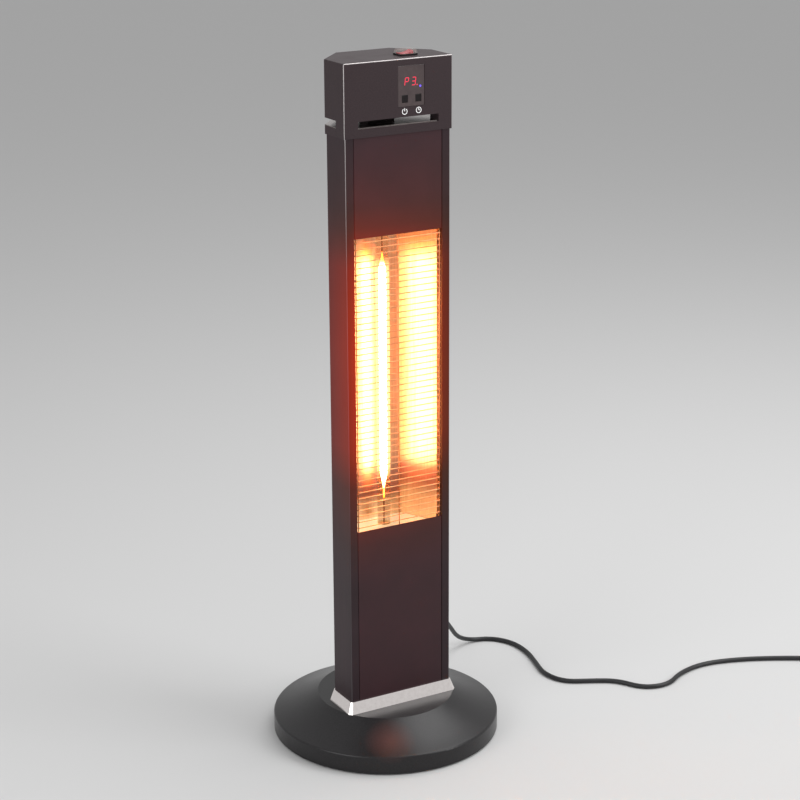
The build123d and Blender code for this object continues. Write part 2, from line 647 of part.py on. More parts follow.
with BuildPart() as guard_frame:
    with BuildSketch(Plane.XY.offset(WINDOW_BOTTOM_Z)):
        with Locations((-GUARD_SIDE_X, GUARD_BACK_Y), (GUARD_SIDE_X, GUARD_BACK_Y)):
            RegularPolygon(UPRIGHT_RADIUS, 6, rotation=15)
        with Locations((1.1 - GUARD_SIDE_X, upright_y), (GUARD_SIDE_X - 1.1, upright_y), (0, upright_y)):
            RegularPolygon(UPRIGHT_RADIUS, 6)
    extrude(amount=guard_span)
    with BuildSketch(Plane(origin=(0, GUARD_BACK_Y, 0), x_dir=(1, 0, 0), z_dir=(0, -1, 0))):
        with Locations(*[(side * GUARD_SIDE_X, z) for side in (-1, 1) for z in wire_heights]):
            RegularPolygon(GUARD_WIRE, 6, rotation=30)
    extrude(amount=GUARD_BACK_Y - GUARD_FRONT_Y + GUARD_WIRE)
keep(guard_frame, "guard_frame")

# ================================================================ head

TRAY_FLOOR = 2.0
DECK_SHEET = 1.0
ELECTRONICS_TRAY = 2.0
BOARD_STANDOFF = 6.6
NECK_WIDTH = 38.0
NECK_FRONT_Y = 0.0
NECK_DEPTH = 22.0
NECK_WALL = 2.0
NECK_MID_Y = NECK_FRONT_Y + NECK_DEPTH / 2
HOUSING_TOP_WALL = 2.5
HOUSING_SCREWS = [(-66, -34), (66, -34)]
HOUSING_SCREW_RADIUS = 1.5
HOUSING_SCREW_LENGTH = 14.0
post_width = HEAD_HALF_WIDTH - SLOT_HALF_WIDTH


def cut_for_housing():
    """Clears the strip behind the front wall and the two corner posts, in the current sketch."""
    with Locations((0, FRONT_Y)):
        Rectangle(2 * BEYOND, 2 * (HEAD_WALL + 0.2), mode=Mode.SUBTRACT)
    for side in (-1, 1):
        with Locations((side * (SLOT_HALF_WIDTH - 0.2), FRONT_Y)):
            Rectangle(
                40,
                POST_BACK_Y - FRONT_Y + 0.2,
                align=(Align.MIN if side > 0 else Align.MAX, Align.MIN),
                mode=Mode.SUBTRACT,
            )


with BuildPart() as head_tray:
    with BuildSketch(Plane.XY.offset(HEAD_BOTTOM_Z)):
        add(tower_plan())
        cut_for_housing()
    extrude(amount=GAP_BOTTOM_Z - HEAD_BOTTOM_Z)
    with BuildSketch(Plane.XY.offset(HEAD_BOTTOM_Z + TRAY_FLOOR)):
        add(tower_plan(-HEAD_WALL, 0.8, 0.8))
        with Locations((0, FRONT_Y)):
            Rectangle(2 * BEYOND, 2 * (2 * HEAD_WALL + 0.2), mode=Mode.SUBTRACT)
        for side in (-1, 1):
            with Locations((side * (SLOT_HALF_WIDTH - 0.2 - HEAD_WALL), FRONT_Y)):
                Rectangle(
                    40,
                    POST_BACK_Y - FRONT_Y + 0.2 + HEAD_WALL,
                    align=(Align.MIN if side > 0 else Align.MAX, Align.MIN),
                    mode=Mode.SUBTRACT,
                )
    extrude(amount=GAP_BOTTOM_Z, mode=Mode.SUBTRACT)
    with BuildSketch(Plane.XY.offset(HEAD_BOTTOM_Z)):
        with Locations((0, NECK_MID_Y)):
            Rectangle(NECK_WIDTH - 2 * NECK_WALL, NECK_DEPTH - 2 * NECK_WALL)
        with Locations(*SCREW_PORTS):
            Circle(PORT_SCREW_RADIUS + 0.2)
    extrude(amount=TRAY_FLOOR, mode=Mode.SUBTRACT)
keep(head_tray, "head_tray")

TRAY_TOP_Z = HEAD_BOTTOM_Z + TRAY_FLOOR
with BuildPart() as tray_screws:
    with Locations(*[(x, y, TRAY_TOP_Z) for x, y in SCREW_PORTS]):
        Cylinder(PORT_SCREW_RADIUS, 14, align=HANGING)
        Cylinder(3.8, 2.4, align=STANDING)
keep(tray_screws, "tray_screws")

with BuildPart() as deck_plate:
    with BuildSketch(Plane.XY.offset(GAP_BOTTOM_Z)):
        add(tower_plan())
        cut_for_housing()
        with Locations((0, NECK_MID_Y)):
            Rectangle(NECK_WIDTH + 0.4, NECK_DEPTH + 0.4, mode=Mode.SUBTRACT)
    extrude(amount=DECK_SHEET)
keep(deck_plate, "deck_plate")

with BuildPart() as wiring_neck:
    with BuildSketch(Plane.XY.offset(TRAY_TOP_Z)):
        with Locations((0, NECK_MID_Y)):
            Rectangle(NECK_WIDTH, NECK_DEPTH)
            Rectangle(NECK_WIDTH - 2 * NECK_WALL, NECK_DEPTH - 2 * NECK_WALL, mode=Mode.SUBTRACT)
    extrude(amount=GAP_TOP_Z - TRAY_TOP_Z)
keep(wiring_neck, "wiring_neck")

# The housing carries its front wall and two corner posts down past the gap.
with BuildPart() as head_housing:
    with BuildSketch(Plane.XY.offset(HEAD_BOTTOM_Z)):
        add(tower_plan())
    extrude(amount=HEAD_TOP_Z - HEAD_BOTTOM_Z)
    rim_edges = head_housing.faces().sort_by(Axis.Z)[-1].edges()
    fillet(rim_edges, 1.0)
    with BuildSketch(Plane.XY.offset(HEAD_BOTTOM_Z)):
        add(tower_plan(-HEAD_WALL, 0.5, 0.5))
    extrude(amount=HEAD_TOP_Z - HOUSING_TOP_WALL - HEAD_BOTTOM_Z, mode=Mode.SUBTRACT)
    for side in (-1, 1):
        with Locations((side * (SLOT_HALF_WIDTH + 1), FRONT_Y + 1, HEAD_BOTTOM_Z)):
            Box(
                post_width - 2,
                POST_BACK_Y - FRONT_Y - 1,
                GAP_TOP_Z - HEAD_BOTTOM_Z,
                align=(Align.MIN if side > 0 else Align.MAX, Align.MIN, Align.MIN),
            )
    # inner faces of the posts stand exactly at the ends of the slot
    for side in (-1, 1):
        with Locations((side * SLOT_HALF_WIDTH, FRONT_Y + 1, HEAD_BOTTOM_Z)):
            Box(
                4,
                POST_BACK_Y - FRONT_Y - 1,
                GAP_TOP_Z - HEAD_BOTTOM_Z,
                align=(Align.MIN if side > 0 else Align.MAX, Align.MIN, Align.MIN),
            )
    # the sides behind the posts and the back stop above the gap
    with BuildSketch(Plane.XY.offset(HEAD_BOTTOM_Z)):
        with Locations((0, POST_BACK_Y)):
            Rectangle(2 * BEYOND, BEYOND, align=(Align.CENTER, Align.MIN))
    extrude(amount=GAP_TOP_Z - HEAD_BOTTOM_Z, mode=Mode.SUBTRACT)
    # front slot
    with Locations((0, FRONT_Y, (GAP_BOTTOM_Z + GAP_TOP_Z) / 2)):
        Box(2 * SLOT_HALF_WIDTH, 8, GAP_TOP_Z - GAP_BOTTOM_Z, mode=Mode.SUBTRACT)
    # display opening, 0.1 mm clear of the panel all round
    with Locations((PANEL_X, FRONT_Y, PANEL_Z)):
        Box(PANEL_WIDTH + 0.2, 8, PANEL_HEIGHT + 0.2, mode=Mode.SUBTRACT)
    # switch opening
    with Locations((SWITCH_X, SWITCH_Y, HEAD_TOP_Z)):
        Box(22.4, 17.4, 10, mode=Mode.SUBTRACT)
    # pilot holes for the tray screws, from above into the posts
    with Locations(*[(x, y, GAP_TOP_Z) for x, y in HOUSING_SCREWS]):
        Cylinder(HOUSING_SCREW_RADIUS, HOUSING_SCREW_LENGTH, align=HANGING, mode=Mode.SUBTRACT)
keep(head_housing, "head_housing")

with BuildPart() as electronics_tray:
    with BuildSketch(Plane.XY.offset(GAP_TOP_Z)):
        add(tower_plan(-HEAD_WALL - 0.1, 0.5, 0.5))
        with Locations((0, NECK_MID_Y)):
            Rectangle(NECK_WIDTH - 2 * NECK_WALL, NECK_DEPTH - 2 * NECK_WALL, mode=Mode.SUBTRACT)
        with Locations(*HOUSING_SCREWS):
            Circle(HOUSING_SCREW_RADIUS + 0.2, mode=Mode.SUBTRACT)
    extrude(amount=ELECTRONICS_TRAY)
    with Locations((0, 5, GAP_TOP_Z + ELECTRONICS_TRAY)):
        with GridLocations(76, 42, 2, 2):
            Cylinder(3, BOARD_STANDOFF, align=STANDING)
keep(electronics_tray, "electronics_tray")

with BuildPart() as housing_screws:
    with Locations(*[(x, y, GAP_TOP_Z + ELECTRONICS_TRAY) for x, y in HOUSING_SCREWS]):
        Cylinder(HOUSING_SCREW_RADIUS, HOUSING_SCREW_LENGTH, align=HANGING)
        Cylinder(2 * HOUSING_SCREW_RADIUS, 2, align=STANDING)
keep(housing_screws, "housing_screws")

# ---------------------------------------------------------------- display and buttons

PANEL_FACE_Y = FRONT_Y + 0.5
WALL_BACK_Y = FRONT_Y + HEAD_WALL
FLANGE_BACK_Y = WALL_BACK_Y + 1.4
BOARD_FRONT_Y = -34.5
BUTTON_WIDTH = 8.0
BUTTON_HEIGHT = 8.8
BUTTON_GAP = 0.3
front_face = Plane(origin=(0, PANEL_FACE_Y, 0), x_dir=(1, 0, 0), z_dir=(0, -1, 0))

# Seven-segment figures, drawn as hexagonal bars: letter, figure and point.
DIGIT_WIDTH = 4.8
DIGIT_HEIGHT = 9.4
SEGMENT = 1.0
DIGIT_Z = 880.7
SEGMENT_DEPTH = 0.3
POINT_X = 26.4
POINT_RADIUS = 0.8
DIGIT_SLANT = 0.12
DIGIT_XS = (11.7, 21.8)
segment_places = {
    "a": (0, DIGIT_HEIGHT / 2, True),
    "b": (DIGIT_WIDTH / 2, DIGIT_HEIGHT / 4, False),
    "c": (DIGIT_WIDTH / 2, -DIGIT_HEIGHT / 4, False),
    "d": (0, -DIGIT_HEIGHT / 2, True),
    "e": (-DIGIT_WIDTH / 2, -DIGIT_HEIGHT / 4, False),
    "f": (-DIGIT_WIDTH / 2, DIGIT_HEIGHT / 4, False),
    "g": (0, 0, True),
}
LIT_SEGMENTS = ("abefg", "abcdg")


def draw_segments():
    """Lit segments of both places, and the point after them, in the current sketch."""
    for digit_x, lit in zip(DIGIT_XS, LIT_SEGMENTS):
        for name in lit:
            dx, dz, lying = segment_places[name]
            length = (DIGIT_WIDTH if lying else DIGIT_HEIGHT / 2) - SEGMENT - 0.3
            with Locations(Location((digit_x + dx + DIGIT_SLANT * dz, DIGIT_Z + dz), 0 if lying else 83)):
                SlotOverall(length + SEGMENT * 0.9, SEGMENT)
    with Locations((POINT_X, DIGIT_Z - DIGIT_HEIGHT / 2)):
        Circle(POINT_RADIUS)


with BuildPart() as display_digits:
    with BuildSketch(front_face.offset(-SEGMENT_DEPTH)):
        draw_segments()
    extrude(amount=SEGMENT_DEPTH + 0.05)
keep(display_digits, "display_digits")

LED_X = 31.0
LED_Z = 874.0
LED_RADIUS = 1.5
LED_LENGTH = 8.0
with BuildPart() as indicator_led:
    with BuildSketch(front_face.offset(-LED_LENGTH)):
        with Locations((LED_X, LED_Z)):
            Circle(LED_RADIUS)
    extrude(amount=LED_LENGTH + 0.1)
    fillet(indicator_led.faces().sort_by(Axis.Y)[0].edges(), 0.7)
keep(indicator_led, "indicator_led")

with BuildPart() as display_panel:
    with Locations((PANEL_X, PANEL_FACE_Y, PANEL_Z)):
        Box(PANEL_WIDTH, WALL_BACK_Y - PANEL_FACE_Y, PANEL_HEIGHT, align=BEHIND)
    fillet(display_panel.faces().sort_by(Axis.Y)[0].edges(), 0.4)
    with Locations((PANEL_X, WALL_BACK_Y, PANEL_Z)):
        Box(PANEL_WIDTH + 4, FLANGE_BACK_Y - WALL_BACK_Y, PANEL_HEIGHT + 4, align=BEHIND)
    # four posts that carry the control board
    with BuildSketch(Plane(origin=(PANEL_X, FLANGE_BACK_Y, PANEL_Z), x_dir=(1, 0, 0), z_dir=(0, 1, 0))):
        with GridLocations(PANEL_WIDTH - 1, PANEL_HEIGHT - 1, 2, 2):
            Circle(2)
    extrude(amount=BOARD_FRONT_Y - FLANGE_BACK_Y)
    with Locations(*[(x, FRONT_Y, BUTTON_Z) for x in BUTTON_XS]):
        Box(BUTTON_WIDTH + 2 * BUTTON_GAP, 20, BUTTON_HEIGHT + 2 * BUTTON_GAP, mode=Mode.SUBTRACT)
    with BuildSketch(front_face):
        with Locations((LED_X, LED_Z)):
            Circle(LED_RADIUS)
    extrude(amount=-LED_LENGTH, mode=Mode.SUBTRACT)
    with BuildSketch(front_face):
        draw_segments()
    extrude(amount=-SEGMENT_DEPTH, mode=Mode.SUBTRACT)
keep(display_panel, "display_panel")

# Each button: cap through the panel, flange behind it, stem towards its tact switch.
TACT_TOP_Y = -37.1
STEM_RADIUS = 1.7


def push_button(x):
    """Square cap with its retaining flange and stem, 0.3 mm clear of the panel."""
    cap_front = PANEL_FACE_Y - 0.4
    flange_front = FLANGE_BACK_Y + BUTTON_GAP
    stem_back = TACT_TOP_Y - BUTTON_TRAVEL - BUTTON_GAP
    with BuildPart() as button:
        with Locations((x, cap_front, BUTTON_Z)):
            Box(BUTTON_WIDTH, flange_front - cap_front, BUTTON_HEIGHT, align=BEHIND)
        chamfer(button.faces().sort_by(Axis.Y)[0].edges(), 0.5)
        with Locations((x, flange_front, BUTTON_Z)):
            Box(BUTTON_WIDTH + 2, 0.8, BUTTON_HEIGHT + 2, align=BEHIND)
        with BuildSketch(Plane(origin=(x, flange_front + 0.8, BUTTON_Z), x_dir=(1, 0, 0), z_dir=(0, 1, 0))):
            Circle(STEM_RADIUS)
        extrude(amount=stem_back - flange_front - 0.8)
    return button


keep(push_button(BUTTON_XS[0]), "power_button")
keep(push_button(BUTTON_XS[1]), "timer_button")

BOARD = 1.6
with BuildPart() as control_board:
    with Locations((PANEL_X, BOARD_FRONT_Y, PANEL_Z)):
        Box(PANEL_WIDTH + 4, BOARD, PANEL_HEIGHT + 4, align=BEHIND)
keep(control_board, "control_board")

TACT_BODY = 6.0
TACT_BODY_FRONT_Y = BOARD_FRONT_Y - 2.0
with BuildPart() as tact_switches:
    for x in BUTTON_XS:
        with Locations((x, TACT_BODY_FRONT_Y, BUTTON_Z)):
            Box(TACT_BODY, BOARD_FRONT_Y - TACT_BODY_FRONT_Y, TACT_BODY, align=BEHIND)
        with BuildSketch(Plane(origin=(x, TACT_BODY_FRONT_Y, BUTTON_Z), x_dir=(1, 0, 0), z_dir=(0, -1, 0))):
            Circle(STEM_RADIUS)
        extrude(amount=TACT_BODY_FRONT_Y - TACT_TOP_Y)
keep(tact_switches, "tact_switches")

MODULE_WIDTH = 20.0
MODULE_HEIGHT = 16.5
with BuildPart() as digit_module:
    with Locations((sum(DIGIT_XS) / 2, FLANGE_BACK_Y, DIGIT_Z)):
        Box(MODULE_WIDTH, BOARD_FRONT_Y - FLANGE_BACK_Y, MODULE_HEIGHT, align=BEHIND)
keep(digit_module, "digit_module")

# ---------------------------------------------------------------- power electronics

POWER_BOARD_Z = GAP_TOP_Z + ELECTRONICS_TRAY + BOARD_STANDOFF
POWER_TOP_Z = POWER_BOARD_Z + BOARD
POWER_BOARD_WIDTH = 88.0
POWER_BOARD_DEPTH = 54.0
POWER_BOARD_FRONT_Y = -22.0
NOTCH_FRONT_Y = NECK_FRONT_Y + 1.0
with BuildPart() as power_board:
    with BuildSketch(Plane.XY.offset(POWER_BOARD_Z)):
        with Locations((0, POWER_BOARD_FRONT_Y)):
            Rectangle(POWER_BOARD_WIDTH, POWER_BOARD_DEPTH, align=(Align.CENTER, Align.MIN))
        with Locations((0, NOTCH_FRONT_Y)):
            Rectangle(NECK_WIDTH, POWER_BOARD_DEPTH, align=(Align.CENTER, Align.MIN), mode=Mode.SUBTRACT)
    extrude(amount=BOARD)
keep(power_board, "power_board")

RELAY_SPOT = (-31, -11, POWER_TOP_Z)
RELAY_LENGTH = 19.0
RELAY_SECTION = 15.5
with BuildPart() as relay:
    with Locations(RELAY_SPOT):
        Box(RELAY_LENGTH, RELAY_SECTION, RELAY_SECTION, align=STANDING)
    fillet(relay.edges().filter_by(Axis.Z), 0.8)
    chamfer(relay.faces().sort_by(Axis.Z)[-1].edges(), 0.5)
keep(relay, "relay")

CAPACITOR_SPOT = (-6, -12, POWER_TOP_Z)
CAPACITOR_RADIUS = 6.5
CAPACITOR_HEIGHT = 20.0
with BuildPart() as capacitor:
    with Locations(CAPACITOR_SPOT):
        Cylinder(CAPACITOR_RADIUS, CAPACITOR_HEIGHT, align=STANDING)
    fillet(capacitor.faces().sort_by(Axis.Z)[-1].edges(), 0.8)
keep(capacitor, "capacitor")

TILT_SWITCH_SPOT = (34, 18, POWER_TOP_Z)
TILT_SWITCH_RADIUS = 6.0
TILT_SWITCH_HEIGHT = 13.0
with BuildPart() as tilt_switch:
    with Locations(TILT_SWITCH_SPOT):
        Cylinder(TILT_SWITCH_RADIUS, TILT_SWITCH_HEIGHT, align=STANDING)
        Cylinder(TILT_SWITCH_RADIUS + 1, 2, align=STANDING)
keep(tilt_switch, "tilt_switch")

# Screw terminals bridge the notch in the board, over the neck.
BLOCK_HEIGHT = 12.0
BLOCK_WIDTH = 46.0
BLOCK_DEPTH = 15.0
CELL_PITCH = 11.0
LEAD_XS = (-CELL_PITCH, 0.0, CELL_PITCH)
WALL_XS = (-1.5 * CELL_PITCH, -0.5 * CELL_PITCH, 0.5 * CELL_PITCH, 1.5 * CELL_PITCH)
with BuildPart() as terminal_block:
    with Locations((0, NECK_MID_Y, POWER_TOP_Z)):
        Box(BLOCK_WIDTH, BLOCK_DEPTH, BLOCK_HEIGHT, align=STANDING)
    with Locations(*[(x, NECK_MID_Y - BLOCK_DEPTH / 2, POWER_TOP_Z + BLOCK_HEIGHT) for x in WALL_XS]):
        Box(1.2, 20, 3, align=(Align.CENTER, Align.MIN, Align.MAX), mode=Mode.SUBTRACT)
    with Locations(*[(x, NECK_MID_Y, POWER_TOP_Z + BLOCK_HEIGHT) for x in LEAD_XS]):
        Cylinder(2.4, 5, align=HANGING, mode=Mode.SUBTRACT)
keep(terminal_block, "terminal_block")

# ---------------------------------------------------------------- rocker switch

PIVOT_Z = HEAD_TOP_Z - 2.8
BEZEL_TOP_Z = HEAD_TOP_Z + 2.0
POCKET_HALF = 9.95
with BuildPart() as switch_body:
    with Locations((SWITCH_X, SWITCH_Y, HEAD_TOP_Z)):
        Box(25, 20, BEZEL_TOP_Z - HEAD_TOP_Z, align=STANDING)
    fillet(switch_body.edges().filter_by(Axis.Z), 1.5)
    with Locations((SWITCH_X, SWITCH_Y, HEAD_TOP_Z)):
        Box(22, 17, 21, align=HANGING)
    with Locations((SWITCH_X, SWITCH_Y, BEZEL_TOP_Z)):
        Box(2 * POCKET_HALF, 13.2, 13, align=HANGING, mode=Mode.SUBTRACT)
    with BuildSketch(Plane(origin=(SWITCH_X, SWITCH_Y - 7.6, PIVOT_Z), x_dir=(1, 0, 0), z_dir=(0, -1, 0))):
        Circle(1.55)
    extrude(amount=-15.2, mode=Mode.SUBTRACT)
    with Locations(*[(SWITCH_X + dx, SWITCH_Y, HEAD_TOP_Z - 21) for dx in (-7, 0, 7)]):
        Box(0.8, 6.3, 8, align=HANGING)
keep(switch_body, "switch_body")

# The rocker is drawn level on a plane that is tilted about its cross pin, so it rests switched on.
ROCKER_HALF = 8.6
ROCKER_TOP = 7.2
tilt = radians(ROCKER_TILT)
rocker_plane = Plane(
    origin=(SWITCH_X, SWITCH_Y, PIVOT_Z),
    x_dir=(cos(tilt), 0, sin(tilt)),
    z_dir=(0, -1, 0),
)
with BuildPart() as switch_rocker:
    with BuildSketch(rocker_plane):
        with BuildLine():
            Polyline(
                (-ROCKER_HALF, ROCKER_TOP),
                (-ROCKER_HALF, 1.5),
                (-3, -2.5),
                (3, -2.5),
                (ROCKER_HALF, 1.5),
                (ROCKER_HALF, ROCKER_TOP),
            )
            ThreePointArc((-ROCKER_HALF, ROCKER_TOP), (0, ROCKER_TOP - 1.8), (ROCKER_HALF, ROCKER_TOP))
        make_face()
    extrude(amount=6.2, both=True)
    with BuildSketch(rocker_plane):
        Circle(1.5)
    extrude(amount=7.3, both=True)
keep(switch_rocker, "switch_rocker")

# Clear flexible cap that keeps rain off the switch.
CAP_TOP_Z = HEAD_TOP_Z + 7.2
with BuildPart() as switch_cap:
    with BuildSketch(Plane.XY.offset(BEZEL_TOP_Z)):
        with Locations((SWITCH_X, SWITCH_Y)):
            RectangleRounded(24.8, 19.8, 2.5)
    with BuildSketch(Plane.XY.offset(CAP_TOP_Z)):
        with Locations((SWITCH_X, SWITCH_Y)):
            RectangleRounded(22.8, 17.8, 2.5)
    loft()
    with BuildSketch(Plane.XY.offset(BEZEL_TOP_Z - 0.001)):
        with Locations((SWITCH_X, SWITCH_Y)):
            RectangleRounded(23.2, 18.2, 1.8)
    with BuildSketch(Plane.XY.offset(CAP_TOP_Z - 0.8)):
        with Locations((SWITCH_X, SWITCH_Y)):
            RectangleRounded(21.5, 16.5, 1.8)
    loft(mode=Mode.SUBTRACT)
keep(switch_cap, "switch_cap")

# ================================================================ wiring and mains cord


def swept_tube(points, radii, tube_radius):
    """Round tube along straight runs joined by tangent arcs."""
    with BuildLine() as route:
        FilletPolyline(*points, radius=radii)
    path = route.wire()
    with BuildSketch(Plane(origin=path @ 0, z_dir=path % 0)) as section:
        Circle(tube_radius)
    return sweep(section.sketch, path=path)


LEAD_RUN_Y = 37.5
LEAD_FOOT_Z = CAP_BOTTOM_Z - 32
LEAD_BEND_Z = 780.0
lamp_top_z = 2 * LAMP_MID_Z - CAP_BOTTOM_Z
nut_inner = gland_seat - gland_out * (COLUMN_WALL + 4)
nut_turn = nut_inner - gland_out * 24

with BuildPart() as upper_lamp_lead:
    add(
        swept_tube(
            [
                (0, 0, lamp_top_z),
                (0, 0, lamp_top_z + 28),
                (LEAD_XS[0], NECK_MID_Y, LEAD_BEND_Z),
                (LEAD_XS[0], NECK_MID_Y, POWER_TOP_Z),
            ],
            12,
            LEAD_RADIUS,
        )
    )
keep(upper_lamp_lead, "upper_lamp_lead")

with BuildPart() as lower_lamp_lead:
    add(
        swept_tube(
            [
                (0, 0, CAP_BOTTOM_Z),
                (0, 0, LEAD_FOOT_Z),
                (LEAD_XS[1], LEAD_RUN_Y, LEAD_FOOT_Z),
                (LEAD_XS[1], LEAD_RUN_Y, LEAD_BEND_Z),
                (LEAD_XS[1], NECK_MID_Y, LEAD_BEND_Z + 32),
                (LEAD_XS[1], NECK_MID_Y, POWER_TOP_Z),
            ],
            12,
            LEAD_RADIUS,
        )
    )
keep(lower_lamp_lead, "lower_lamp_lead")

with BuildPart() as inner_mains_lead:
    add(
        swept_tube(
            [
                tuple(nut_inner),
                tuple(nut_turn),
                (nut_turn.X, nut_turn.Y, 190),
                (LEAD_XS[2], LEAD_RUN_Y, 236),
                (LEAD_XS[2], LEAD_RUN_Y, LEAD_BEND_Z),
                (LEAD_XS[2], NECK_MID_Y, LEAD_BEND_Z + 32),
                (LEAD_XS[2], NECK_MID_Y, POWER_TOP_Z),
            ],
            14,
            CORD_DIAMETER / 2,
        )
    )
keep(inner_mains_lead, "inner_mains_lead")

SWITCH_FOOT_Z = HEAD_TOP_Z - 29
BLOCK_SOCKET_Z = POWER_TOP_Z + BLOCK_HEIGHT - 5
with BuildPart() as switch_leads:
    for terminal_x, socket_x, turn_z in ((-7, LEAD_XS[2], 870), (7, LEAD_XS[1], 867)):
        add(
            swept_tube(
                [
                    (SWITCH_X + terminal_x, SWITCH_Y, SWITCH_FOOT_Z),
                    (SWITCH_X + terminal_x, SWITCH_Y, turn_z),
                    (socket_x, NECK_MID_Y, turn_z),
                    (socket_x, NECK_MID_Y, BLOCK_SOCKET_Z),
                ],
                6,
                1.2,
            )
        )
keep(switch_leads, "switch_leads")

# Gland with a tapered, grooved sleeve; its nut is inside the column.
with BuildPart() as strain_relief:
    gland_plane = Plane(origin=gland_seat, x_dir=gland_out, z_dir=(gland_out.Y, -gland_out.X, 0))
    with BuildSketch(gland_plane):
        with BuildLine():
            Polyline(
                (-COLUMN_WALL - 4, 0),
                (-COLUMN_WALL - 4, 8.5),
                (-COLUMN_WALL, 8.5),
                (-COLUMN_WALL, 5.9),
                (0, 5.9),
                (0, 8.5),
                (2, 8.5),
                (3, 7.5),
                (3, 6.4),
                (GLAND_LENGTH, 4.3),
                (GLAND_LENGTH, 0),
                close=True,
            )
        make_face()
        # grooves that let the sleeve bend
        with Locations(*[(8 + 4 * k, 6.9 - 0.311 * k) for k in range(5)]):
            Rectangle(1.4, 3, mode=Mode.SUBTRACT)
    revolve(axis=Axis(gland_seat, gland_out))
keep(strain_relief, "strain_relief")

# The free cord: a falling arc from the gland, then loose curves on the floor in front of the coil.
ON_FLOOR = CORD_DIAMETER / 2 + 0.01
COIL_Z = ON_FLOOR + 1.0
CORD_ROUTE = [
    (78.06, 44.76, GLAND_Z),
    (100.1, 65.2, GLAND_Z),
    (129.5, 88.5, 98),
    (158, 112.5, 79),
    (184, 136, 50),
    (210, 158, 19),
    (240, 170, ON_FLOOR),
    (270, 160, ON_FLOOR),
    (289, 131, ON_FLOOR),
    (290, 93, ON_FLOOR),
    (280, 55, ON_FLOOR),
    (269, 18, ON_FLOOR),
    (279, -18, ON_FLOOR),
    (314, -35, ON_FLOOR),
    (346, -53, ON_FLOOR),
    (364, -91, ON_FLOOR),
    (402, -100, ON_FLOOR),
    (436, -78, ON_FLOOR),
    (484, -68, ON_FLOOR),
    (538, -82, ON_FLOOR),
    (592, -108, ON_FLOOR),
    (642, -141, COIL_Z),
    (670, -163, COIL_Z),
]


def route_radii(points):
    """Arc radius at each corner: as large as its two runs allow."""
    radii = []
    for before, here, after in zip(points, points[1:], points[2:]):
        arriving = Vector(*here) - Vector(*before)
        leaving = Vector(*after) - Vector(*here)
        half_turn = radians(arriving.get_angle(leaving)) / 2
        radii.append(0.45 * min(arriving.length, leaving.length) / tan(half_turn))
    return radii


def report_tube(name, piece, length):
    """Prints how closely a tube's volume follows its section times its length."""
    expected = pi * (CORD_DIAMETER / 2) ** 2 * length
    print(f"{name}: length {length:.0f} mm, volume / (section x length) {piece.part.volume / expected:.4f}")


def cord_length(points, radii):
    """Length of the straight runs and arcs."""
    with BuildLine() as route:
        FilletPolyline(*points, radius=radii)
    return route.wire().length


cord_radii = route_radii(CORD_ROUTE)
print("mains cord radii", [round(r) for r in cord_radii])
with BuildPart() as mains_cord:
    add(swept_tube(CORD_ROUTE, cord_radii, CORD_DIAMETER / 2))
free_length = cord_length(CORD_ROUTE, cord_radii)
report_tube("mains cord", mains_cord, free_length)
keep(mains_cord, "mains_cord")

# The coil: half turns about two centres, in on the floor, up a layer and out again.
COIL_PITCH = 7.0
COIL_OUTER_RADIUS = 40.0
COIL_STRAIGHT = CORD_DIAMETER
coil_start = Vector(*CORD_ROUTE[-1])
coil_ahead = (coil_start - Vector(*CORD_ROUTE[-2])).normalized()
coil_right = Vector(coil_ahead.Y, -coil_ahead.X, 0)
coil_centre = coil_start + coil_ahead * COIL_STRAIGHT - coil_right * COIL_OUTER_RADIUS
INWARD_RADII = [COIL_OUTER_RADIUS - COIL_PITCH / 2 * k for k in range(5)]
OUTWARD_RADII = [INWARD_RADII[-2] + COIL_PITCH / 2 * k for k in range(3)]


def coil_point(across, along, height):
    """A point of the coil from its own axes: across is away from the centre, along is ahead."""
    return coil_centre + coil_right * across + coil_ahead * along + Vector(0, 0, height - COIL_Z)


def coil_half_turns():
    """Start, middle and end of every half turn, laid end to end."""
    across, height, side, turns = COIL_OUTER_RADIUS, COIL_Z, 1, []
    for radius in INWARD_RADII + OUTWARD_RADII:
        rise = COIL_PITCH if radius == INWARD_RADII[-1] else 0
        reach = 2 * (radius**2 - (rise / 2) ** 2) ** 0.5
        end = across - side * reach
        turns.append(
            (
                coil_point(across, 0, height),
                coil_point((across + end) / 2, side * radius, height + rise / 2),
                coil_point(end, 0, height + rise),
            )
        )
        across, height, side = end, height + rise, -side
    return turns


half_turns = coil_half_turns()
coil_end = half_turns[-1][2] + coil_ahead * COIL_STRAIGHT
with BuildPart() as cord_coil:
    with BuildLine() as coil_line:
        Line(coil_start, half_turns[0][0])
        for start, middle, end in half_turns:
            ThreePointArc(start, middle, end)
        Line(half_turns[-1][2], coil_end)
    coil_path = coil_line.wire()
    with BuildSketch(Plane(origin=coil_start, z_dir=coil_ahead)):
        Circle(CORD_DIAMETER / 2)
    sweep(path=coil_path)
coil_length = coil_path.length
report_tube("coil", cord_coil, coil_length)


def least_gap(path, step=2.0):
    """Smallest clear distance of a tube to itself, on points along its middle line."""
    count = int(path.length / step)
    points = [path @ (k / count) for k in range(count + 1)]
    skip = int(3 * CORD_DIAMETER / step)
    least = min(
        (points[i] - points[j]).length for i in range(len(points)) for j in range(i + skip, len(points))
    )
    return least - CORD_DIAMETER


print(f"coil: {len(half_turns) / 2} turns, least gap to itself {least_gap(coil_path):.2f} mm")
keep(cord_coil, "cord_coil")

